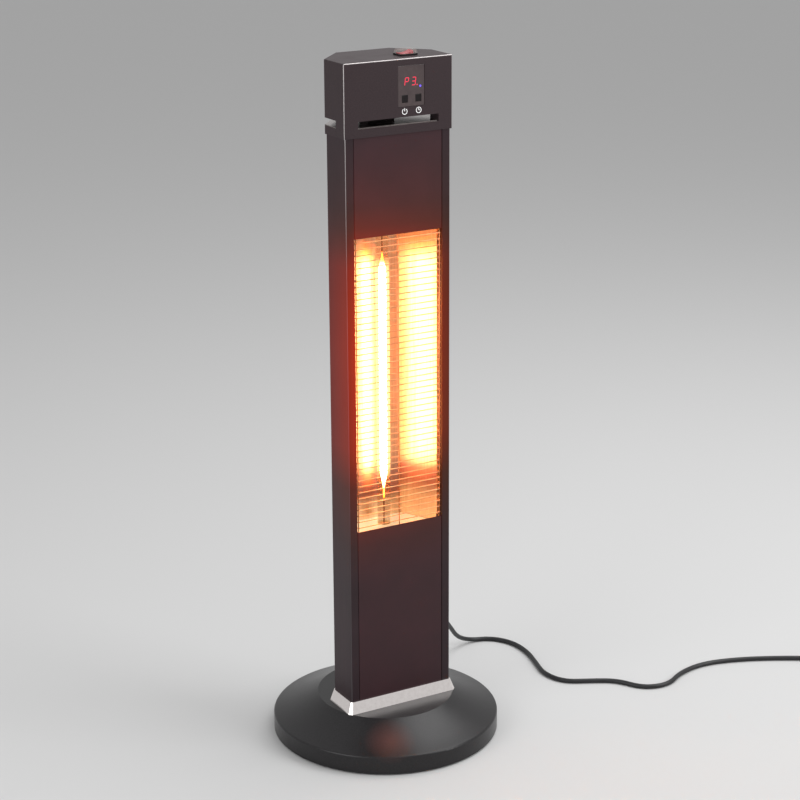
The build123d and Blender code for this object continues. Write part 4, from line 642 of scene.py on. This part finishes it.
# %% mesh helpers
def grid_faces(rows, columns, first=0):
    """Quads between neighbouring rows of a table of points whose columns close into a ring."""
    row = np.arange(rows - 1)[:, None]
    column = np.arange(columns)[None, :]
    beside = (column + 1) % columns
    start, end = row * columns, (row + 1) * columns
    corners = np.stack([start + column, start + beside, end + beside, end + column], axis=-1)
    return (corners.reshape(-1, 4) + first).tolist()


def closed_tube_faces(rows, columns, first=0):
    """The quads of a tube and the two round faces that close its ends."""
    start_cap = list(range(first, first + columns))[::-1]
    end_cap = list(range(first + (rows - 1) * columns, first + rows * columns))
    return grid_faces(rows, columns, first) + [start_cap, end_cap]


def add_piece(name, points, faces, material, body="tower", smooth=True):
    """Makes a mesh object at the origin from points in metres, and lets it ride on a body."""
    mesh = bpy.data.meshes.new(name)
    mesh.from_pydata(np.asarray(points).reshape(-1, 3).tolist(), [], faces)
    mesh.polygons.foreach_set("use_smooth", np.full(len(mesh.polygons), smooth))
    mesh.materials.append(material)
    piece = bpy.data.objects.new(name, mesh)
    bpy.context.scene.collection.objects.link(piece)
    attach(piece, body)
    print(name, "has", len(mesh.polygons), "faces")
    return piece


# %% [markdown]
# The heating element is a wound carbon strand, hot enough to glow yellow-white. It gives the
# light of the whole window. A strand of real fibres would drown in its own glare, so its surface
# is a turned profile with the winding pressed into it.

# %% the surface of the strand
element_low, element_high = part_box("heating_element")
STRAND_SHARE = 0.78
ELEMENT_RADIUS = STRAND_SHARE * element_high.x
GLOW_LOW, GLOW_HIGH = 0.367, 0.634
LOWER_TAPER, UPPER_TAPER = 0.030, 0.020
ROD_RADIUS = 0.0009
WINDING_PITCH, WINDING_DEPTH = 0.004, 0.05


def element_surface(rows, sides):
    """Radius by height: a thin rod that swells by a smooth step, with a helical wave on it."""
    height = np.linspace(element_low.z, element_high.z, rows)[:, None]
    angle = np.linspace(0, 2 * pi, sides, endpoint=False)[None, :]
    into = np.clip((height - (GLOW_LOW - LOWER_TAPER)) / LOWER_TAPER, 0, 1)
    out_of = np.clip(((GLOW_HIGH + UPPER_TAPER) - height) / UPPER_TAPER, 0, 1)
    swell = np.minimum(into**2 * (3 - 2 * into), out_of**2 * (3 - 2 * out_of))
    winding = 1 + np.cos(2 * pi * height / WINDING_PITCH - angle)
    wave = 1 - WINDING_DEPTH * swell * winding
    radius = ROD_RADIUS + (ELEMENT_RADIUS - ROD_RADIUS) * swell * wave
    z = np.broadcast_to(height, radius.shape)
    return np.stack([radius * np.cos(angle), radius * np.sin(angle), z], axis=-1)


print("strand", round(2 * ELEMENT_RADIUS, 4), "m across")

# %% the glowing strand
ELEMENT_ROWS, ELEMENT_SIDES = 420, 24
STRAND_HEAT = [
    (0.325, "#0b0100"),
    (0.660, "#0b0100"),
    (0.3384, "#ff7a1a"),
    (0.3585, "#ffc490"),
    (0.6332, "#ffc490"),
    (0.6466, "#ff7a1a"),
]
glow, tree, skin, place = new_finish(
    "glowing_carbon_strand", Roughness=0.6, Emission_Strength=40.0
)
skin["Base Color"].default_value = linear("#302018")
tree.links.new(colour_along(tree, place, "Z", STRAND_HEAT), skin["Emission Color"])
element = add_piece(
    "carbon_strand",
    element_surface(ELEMENT_ROWS, ELEMENT_SIDES),
    closed_tube_faces(ELEMENT_ROWS, ELEMENT_SIDES),
    glow,
)
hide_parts("heating_element")

# %% [markdown]
# The guard is welded from thin bright wire, bent back at both sides. One wire is a tube along a
# path with round corners, and the others repeat it upwards, so a single table holds them all. The
# CAD wires are six-sided and turn back at square corners, and these are rounder and bend as real
# ones do. Stainless steel turns straw and brown in the heat, so the wire shines in a warm tone.

# %% the wires of the guard
guard_low, guard_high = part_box("guard_frame")
WIRE_RADIUS = 0.0007
WIRE_COUNT = 48
WIRE_SIDES = 8
WIRE_PITCH = 0.008
BEND_RADIUS = 0.0022
window_middle = (guard_low.z + guard_high.z) / 2
GUARD_FRONT = -0.042
GUARD_SIDE = 0.0615
GUARD_BACK = guard_high.y - WIRE_RADIUS


def wire_path(bend_points=7):
    """Middle line of one wire in plan: straight forward, a round corner, and its mirror image."""
    turn = np.linspace(pi, 1.5 * pi, bend_points)
    corner_x = -GUARD_SIDE + BEND_RADIUS + BEND_RADIUS * np.cos(turn)
    corner_y = GUARD_FRONT + BEND_RADIUS + BEND_RADIUS * np.sin(turn)
    left = np.column_stack([np.r_[-GUARD_SIDE, corner_x], np.r_[GUARD_BACK, corner_y]])
    return np.vstack([left, left[::-1] * [-1, 1]])


def wires_surface():
    """Circle of the wire's radius, square to the path at each point, at every wire's height."""
    path = wire_path()
    ahead = np.gradient(path, axis=0)
    ahead /= np.linalg.norm(ahead, axis=1, keepdims=True)
    beside = np.column_stack([ahead[:, 1], -ahead[:, 0]])
    angle = np.linspace(0, 2 * pi, WIRE_SIDES, endpoint=False)
    flat = path[:, None, :] + WIRE_RADIUS * np.cos(angle)[None, :, None] * beside[:, None, :]
    height = window_middle + (np.arange(WIRE_COUNT) - (WIRE_COUNT - 1) / 2) * WIRE_PITCH
    rise = WIRE_RADIUS * np.sin(angle)
    z = height[:, None, None] + rise[None, None, :] + np.zeros((1, len(path), 1))
    xy = np.broadcast_to(flat[None], (WIRE_COUNT, *flat.shape))
    return np.concatenate([xy, z[..., None]], axis=-1)


wires = wires_surface()
points_per_wire = wires.shape[1] * wires.shape[2]
guard_points = wires.reshape(-1, 3)
guard_faces = []
for k in range(WIRE_COUNT):
    guard_faces += closed_tube_faces(wires.shape[1], WIRE_SIDES, k * points_per_wire)
print(WIRE_COUNT, "wires of", points_per_wire, "points each")

# %% the uprights of the guard
UPRIGHT_RADIUS = 0.00075
WELD_DEPTH = 0.0002
CORNER_INSET = 0.0011
behind_front = GUARD_FRONT + WIRE_RADIUS + UPRIGHT_RADIUS - WELD_DEPTH
upright_places = [
    (-GUARD_SIDE, GUARD_BACK),
    (GUARD_SIDE, GUARD_BACK),
    (-GUARD_SIDE + CORNER_INSET, behind_front),
    (GUARD_SIDE - CORNER_INSET, behind_front),
    (0.0, behind_front),
]


def upright_surface(x, y, radius):
    """A round bar: the same circle round (x, y) at the bottom and at the top of the guard."""
    angle = np.linspace(0, 2 * pi, WIRE_SIDES, endpoint=False)
    ends = np.array([guard_low.z, guard_high.z])
    ring = np.stack([x + radius * np.cos(angle), y + radius * np.sin(angle)], axis=-1)
    rings = np.broadcast_to(ring[None], (2, *ring.shape))
    z = np.broadcast_to(ends[:, None, None], (2, WIRE_SIDES, 1))
    return np.concatenate([rings, z], axis=-1)


for x, y in upright_places:
    guard_faces += closed_tube_faces(2, WIRE_SIDES, len(guard_points))
    upright = upright_surface(x, y, UPRIGHT_RADIUS).reshape(-1, 3)
    guard_points = np.vstack([guard_points, upright])
print(len(upright_places), "uprights at x", [round(x, 4) for x, y in upright_places])

# %% the guard as one piece
guard_wire, tree, skin, place = new_finish(
    "heat_tinted_stainless_wire", Metallic=1.0, Roughness=0.3
)
tarnish = add_node(tree, "ShaderNodeTexNoise", {"Vector": place}, scale=per_metre(9.0), detail=3.0)
grade(tree, skin, tarnish.outputs["Fac"], [(0.3, "#c98a5c"), (0.75, "#e0aa7e")])
guard = add_piece("guard_wires", guard_points, guard_faces, guard_wire)
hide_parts("guard_grille", "guard_frame")

# %% [markdown]
# The head is moulded ABS with a spark-eroded, slightly leathery texture, which breaks its shine
# into a fine grain. The real grain is finer and is drawn at nearly two millimetres so that it
# shows. The tray under it and the neck between them are the same plastic. Its edges get the
# column's bright metallic band, which here stands for rubbing and a painted highlight, brighter
# towards the top. The deck in the slot is bright rolled metal, streaked crosswise.

# %% textured plastic of the head
moulded_abs, tree, skin, place = new_finish("textured_abs", Specular_IOR_Level=0.25)
texture = add_node(
    tree, "ShaderNodeTexNoise", {"Vector": place}, scale=per_metre(1.8), detail=4.0
)
smears = add_node(
    tree, "ShaderNodeTexNoise", {"Vector": place}, scale=per_metre(30.0), detail=3.0
)
black = grade(
    tree,
    skin,
    texture.outputs["Fac"],
    [(0.3, "#32272a"), (0.75, "#3b2e31")],
    gloss=(0.38, 0.5),
    gloss_level=smears.outputs["Fac"],
)
bump = add_node(
    tree, "ShaderNodeBump", {"Height": texture.outputs["Fac"]}, strength=0.25, distance=0.0003
)
head_low, head_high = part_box("head_housing")
# The same rubbed band with a painted highlight along the edges of the head.
worn_and_highlit = near_edges(tree, place, head_high.x, head_low.y, head_high.z, EDGE_WEAR_AND_HIGHLIGHT_WIDTH)
rub_and_highlight_edges(tree, skin, black, worn_and_highlit, colour_along(tree, place, "Z", EDGE_WEAR_AND_HIGHLIGHT_COLOUR))
tree.links.new(bump.outputs["Normal"], skin["Normal"])
dress(moulded_abs, "head_housing", "head_tray", "wiring_neck", "electronics_tray")

# %% bright deck behind the slot
deck_metal, tree, skin, place = new_finish("bright_steel_deck", Metallic=1.0, Roughness=0.22)
rolled = add_node(tree, "ShaderNodeMapping", {"Vector": place}, scale=ROLLED_ACROSS)
streaks = add_node(
    tree,
    "ShaderNodeTexNoise",
    {"Vector": rolled.outputs["Vector"]},
    scale=per_metre(1.5),
    detail=3.0,
)
grade(tree, skin, streaks.outputs["Fac"], [(0.3, "#8c8482"), (0.7, "#a89f9c")])
dress(deck_metal, "deck_plate")

# %% [markdown]
# The display hides behind smoked acrylic, polished so well that it mirrors the room, with faint
# swirls from wiping. The figures and the small lamp are plastic lit from behind, mottled a little
# by the diffuser, so they give off light instead of catching it. The red rocker is lit the same
# way, but low, so one function makes all three.

# %% smoked window of the display
panel_plastic, tree, skin, place = new_finish(
    "polished_smoked_acrylic", Roughness=0.12, Coat_Weight=0.4
)
swirl = add_node(tree, "ShaderNodeTexNoise", {"Vector": place}, scale=per_metre(8.0), detail=4.0)
grade(tree, skin, swirl.outputs["Fac"], [(0.3, "#4a3f40"), (0.8, "#554949")])
dress(panel_plastic, "display_panel")

# %% lit figures, lamp and rocker
DIMMEST, BRIGHTEST = 0.8, 1.2


def lit_plastic(name, body_hex, light_hex, strength, grain_mm):
    """Plastic that glows, a little less evenly than a flat colour."""
    lit, tree, skin, place = new_finish(name, Roughness=0.35)
    mottle = add_node(tree, "ShaderNodeTexNoise", {"Vector": place}, scale=per_metre(grain_mm))
    level = add_node(
        tree,
        "ShaderNodeMapRange",
        {"Value": mottle.outputs["Fac"]},
        to_min=DIMMEST * strength,
        to_max=BRIGHTEST * strength,
    )
    skin["Base Color"].default_value = linear(body_hex)
    skin["Emission Color"].default_value = linear(light_hex)
    tree.links.new(level.outputs["Result"], skin["Emission Strength"])
    return lit


red_digit = lit_plastic("lit_red_segments", "#5a0a14", "#f03450", 1.2, 1.0)
blue_lamp = lit_plastic("lit_blue_diode", "#2a2070", "#7a62ff", 1.2, 1.0)
lit_rocker = lit_plastic("lit_red_polycarbonate", "#8c0420", "#d4083a", 0.26, 4.0)
dress(red_digit, "display_digits")
dress(blue_lamp, "indicator_led")
dress(lit_rocker, "switch_rocker")

# %% [markdown]
# The buttons and the switch body are plain moulded ABS, darker and finer than the head, so the
# eye finds them as small dark squares. The cap over the switch is clear silicone: nearly
# invisible, with a soft, slightly cloudy shine that shows its sloping sides.

# %% buttons and switch body
button_plastic, tree, skin, place = new_finish(
    "moulded_abs_button", Roughness=0.45, Specular_IOR_Level=0.2
)
fine = add_node(tree, "ShaderNodeTexNoise", {"Vector": place}, scale=per_metre(1.0), detail=2.0)
grade(tree, skin, fine.outputs["Fac"], [(0.3, "#140e10"), (0.8, "#1c1517")])
dress(
    button_plastic,
    *("power_button", "timer_button", "switch_body"),
    *("terminal_block", "tilt_switch", "digit_module"),
)

# %% clear cap over the switch
clear_cap, tree, skin, place = new_finish("clear_silicone", Roughness=0.12, IOR=1.41, Alpha=0.08)
cloudy = add_node(tree, "ShaderNodeTexNoise", {"Vector": place}, scale=per_metre(7.0), detail=3.0)
grade(tree, skin, cloudy.outputs["Fac"], [(0.3, "#d9cfc4"), (0.8, "#f4efe8")])
dress(clear_cap, "switch_cap")

# %% [markdown]
# No view shows the electronics, but a copy of the part may be opened, so they get real finishes
# too: green solder mask with paler tracks, matt black epoxy, a blue moulded relay case, and brown
# leads in a braided glass sleeve, which stands the heat. Each is one simple pattern, as coarse as
# it needs to show.

# %% boards, parts and leads inside the head
circuit_board, tree, skin, place = new_finish("solder_masked_board", Roughness=0.35)
tracks = add_node(tree, "ShaderNodeTexBrick", {"Vector": place}, scale=per_metre(6.0))
tracks.inputs["Color1"].default_value = linear("#0d4a2a")
tracks.inputs["Color2"].default_value = linear("#115534")
tracks.inputs["Mortar"].default_value = linear("#2f7d4f")
tree.links.new(tracks.outputs["Color"], skin["Base Color"])
dress(circuit_board, "control_board", "power_board")

part_black, tree, skin, place = new_finish("epoxy_black", Roughness=0.45)
grit = add_node(tree, "ShaderNodeTexNoise", {"Vector": place}, scale=per_metre(0.8), detail=2.0)
grade(tree, skin, grit.outputs["Fac"], [(0.3, "#121214"), (0.8, "#222226")])
dress(part_black, "tact_switches", "capacitor")

relay_blue, tree, skin, place = new_finish("moulded_blue_case", Roughness=0.35)
grit = add_node(tree, "ShaderNodeTexNoise", {"Vector": place}, scale=per_metre(2.0), detail=2.0)
grade(tree, skin, grit.outputs["Fac"], [(0.3, "#14407f"), (0.8, "#1b52a0")])
dress(relay_blue, "relay")

lead_sleeve, tree, skin, place = new_finish("braided_glass_sleeve", Roughness=0.7)
braid = add_node(
    tree, "ShaderNodeTexWave", {"Vector": place}, scale=per_metre(12.0), distortion=2.0
)
grade(tree, skin, braid.outputs["Fac"], [(0.2, "#5a3a24"), (0.8, "#80583a")])
dress(lead_sleeve, "upper_lamp_lead", "lower_lamp_lead", "inner_mains_lead", "switch_leads")

# %% [markdown]
# The cord, its gland, its strap and the plug are extruded and moulded soft PVC: black, with a
# dull shine that is rubbed in places, so patches of noise move the roughness. The pins are brass
# plated with nickel, pale gold and scuffed.

# %% cord, plug and strap
soft_pvc, tree, skin, place = new_finish("extruded_soft_pvc", Roughness=0.42)
rubbed = add_node(tree, "ShaderNodeTexNoise", {"Vector": place}, scale=per_metre(14.0), detail=4.0)
grade(tree, skin, rubbed.outputs["Fac"], [(0.3, "#121214"), (0.8, "#222225")], gloss=(0.35, 0.5))
cord_curve.materials.append(soft_pvc)
dress(soft_pvc, "strain_relief", "plug_body", "cord_tie")

pin_metal, tree, skin, place = new_finish("nickel_plated_brass", Metallic=1.0, Roughness=0.25)
scuffs = add_node(tree, "ShaderNodeTexNoise", {"Vector": place}, scale=per_metre(2.0), detail=4.0)
grade(tree, skin, scuffs.outputs["Fac"], [(0.3, "#b8b2a6"), (0.8, "#d8d4ca")])
dress(pin_metal, "plug_pins")

# %% [markdown]
# Two white symbols are printed under the buttons: a broken ring with a bar, and a clock face. A
# picture of them would blur from near, so each is a thin ribbon of ink bent round a circle, with
# straight strokes laid over it. Screen printed ink is dense and matt, and here it also gives off a
# faint white painted light, which keeps it white in any light.

# %% the ink and its ribbons
INK_PROUD = 0.00008
STROKE = 0.00075
print_ink_with_painted_glow, tree, skin, place = new_finish(
    "screen_printed_ink", Roughness=0.5, Emission_Strength=0.35
)
mesh_marks = add_node(tree, "ShaderNodeTexNoise", {"Vector": place}, scale=per_metre(0.8))
white = grade(tree, skin, mesh_marks.outputs["Fac"], [(0.2, "#f0f0f0"), (0.7, "#ffffff")])
# Painted light: the ink gives off a faint white glow of its own.
tree.links.new(white, skin["Emission Color"])


def ribbon(middle_line):
    """Flat band: a line of (x, z) points shifted half a stroke to each side, proud of the head."""
    line = np.asarray(middle_line, float)
    ahead = np.gradient(line, axis=0)
    ahead /= np.linalg.norm(ahead, axis=1, keepdims=True)
    beside = np.column_stack([-ahead[:, 1], ahead[:, 0]]) * STROKE / 2
    left, right = line + beside, line - beside
    front, back = head_low.y - INK_PROUD, head_low.y + INK_PROUD
    edges = [(left, front), (right, front), (right, back), (left, back)]
    corners = [np.column_stack([e[:, 0], np.full(len(e), y), e[:, 1]]) for e, y in edges]
    return np.stack(corners, axis=1)


def ring_line(x, z, radius, start, stop, steps=36):
    """Points on a circle between two angles, measured from straight up."""
    angle = np.linspace(radians(start), radians(stop), steps)
    return np.column_stack([x + radius * np.sin(angle), z + radius * np.cos(angle)])


def printed_symbol(name, lines):
    """Joins the ribbons of one symbol into a piece."""
    points, faces = np.empty((0, 3)), []
    for line in lines:
        band = ribbon(line)
        faces += closed_tube_faces(len(band), 4, len(points))
        points = np.vstack([points, band.reshape(-1, 3)])
    return add_piece(name, points, faces, print_ink_with_painted_glow, smooth=False)


print("ink", INK_PROUD, "m proud of the head's front")

# %% the two symbols
POWER_X, POWER_Z, POWER_RADIUS = 0.0084, 0.8441, 0.0034
BAR_TOP, BAR_BOTTOM = 0.0042, 0.0004
RING_GAP = 32
printed_symbol(
    "power_symbol",
    [
        ring_line(POWER_X, POWER_Z, POWER_RADIUS, RING_GAP, 360 - RING_GAP),
        [(POWER_X, POWER_Z + BAR_TOP), (POWER_X, POWER_Z + BAR_BOTTOM)],
    ],
)
CLOCK_X, CLOCK_Z, CLOCK_RADIUS = 0.0283, 0.8444, 0.0035
LONG_HAND, SHORT_HAND = 0.0026, 0.0018
printed_symbol(
    "clock_symbol",
    [
        ring_line(CLOCK_X, CLOCK_Z, CLOCK_RADIUS, 0, 360),
        [(CLOCK_X, CLOCK_Z + LONG_HAND), (CLOCK_X, CLOCK_Z)],
        [(CLOCK_X, CLOCK_Z), (CLOCK_X + SHORT_HAND, CLOCK_Z)],
    ],
)

# %% [markdown]
# The stage is a plain pale floor and soft studio light: a wide box from the front right, one
# above on the right that runs a sheen round the base, one on the left that lifts the side, and an
# even sky. The levels are set so that a surface shows about the colour that its material says.

# %% floor
STUDIO_GREY = "#d2d2d2"
FLOOR_RADIUS, FLOOR_SIDES = 30.0, 96
floor_mesh = bpy.data.meshes.new("studio_floor")
floor_angle = np.linspace(0, 2 * pi, FLOOR_SIDES, endpoint=False)
floor_ring = [np.cos(floor_angle), np.sin(floor_angle), np.zeros(FLOOR_SIDES)]
floor_points = np.column_stack(floor_ring) * FLOOR_RADIUS
floor_mesh.from_pydata(floor_points.tolist(), [], [list(range(FLOOR_SIDES))])
floor_paint, tree, skin, place = new_finish(
    "matt_studio_floor", Roughness=0.9, Specular_IOR_Level=0.1
)
skin["Base Color"].default_value = linear(STUDIO_GREY)
floor_mesh.materials.append(floor_paint)
floor = bpy.data.objects.new("studio_floor", floor_mesh)
bpy.context.scene.collection.objects.link(floor)
print("floor of", FLOOR_RADIUS, "m round the tower")

# %% sky
SKY_LEVEL = 0.6
world = bpy.data.worlds.new("studio_sky")
bpy.context.scene.world = world
world.use_nodes = True
tree = world.node_tree
sky = tree.nodes["Background"]
sky.inputs["Color"].default_value = linear("#f4f4f4")
sky.inputs["Strength"].default_value = SKY_LEVEL
backdrop = add_node(tree, "ShaderNodeBackground", color=linear(STUDIO_GREY), strength=1.0)
ray = add_node(tree, "ShaderNodeLightPath").outputs
straight = add_node(
    tree, "ShaderNodeMath", {0: ray["Is Camera Ray"], 1: ray["Is Glossy Ray"]}, operation="ADD"
)
seen = add_node(
    tree,
    "ShaderNodeMath",
    {0: straight.outputs[0], 1: ray["Is Transmission Ray"]},
    operation="ADD",
    use_clamp=True,
)
choose = add_node(tree, "ShaderNodeMixShader", {"Fac": seen.outputs[0]})
tree.links.new(sky.outputs["Background"], choose.inputs[1])
tree.links.new(backdrop.outputs["Background"], choose.inputs[2])
tree.links.new(choose.outputs["Shader"], tree.nodes["World Output"].inputs["Surface"])
print("sky at a level of", SKY_LEVEL)

# %% soft lamps
TOWER_MIDDLE = Vector((0, 0, 0.45))


def soft_lamp(name, place, width, height, watts):
    """A white soft box that faces the middle of the tower."""
    data = bpy.data.lights.new(name, "AREA")
    data.shape = "RECTANGLE"
    data.size, data.size_y = width, height
    data.energy = watts
    lamp = bpy.data.objects.new(name, data)
    turn = (TOWER_MIDDLE - Vector(place)).to_track_quat("-Z", "Y")
    lamp.matrix_world = Matrix.Translation(place) @ turn.to_matrix().to_4x4()
    bpy.context.scene.collection.objects.link(lamp)
    print(name, "gives", watts, "W")


soft_lamp("left_softbox", (-1.9, -0.6, 1.0), 1.2, 1.2, 12)
soft_lamp("right_softbox", (2.0, -2.2, 1.9), 1.6, 1.6, 36)
soft_lamp("top_softbox", (1.1, -0.1, 2.4), 1.8, 1.8, 30)
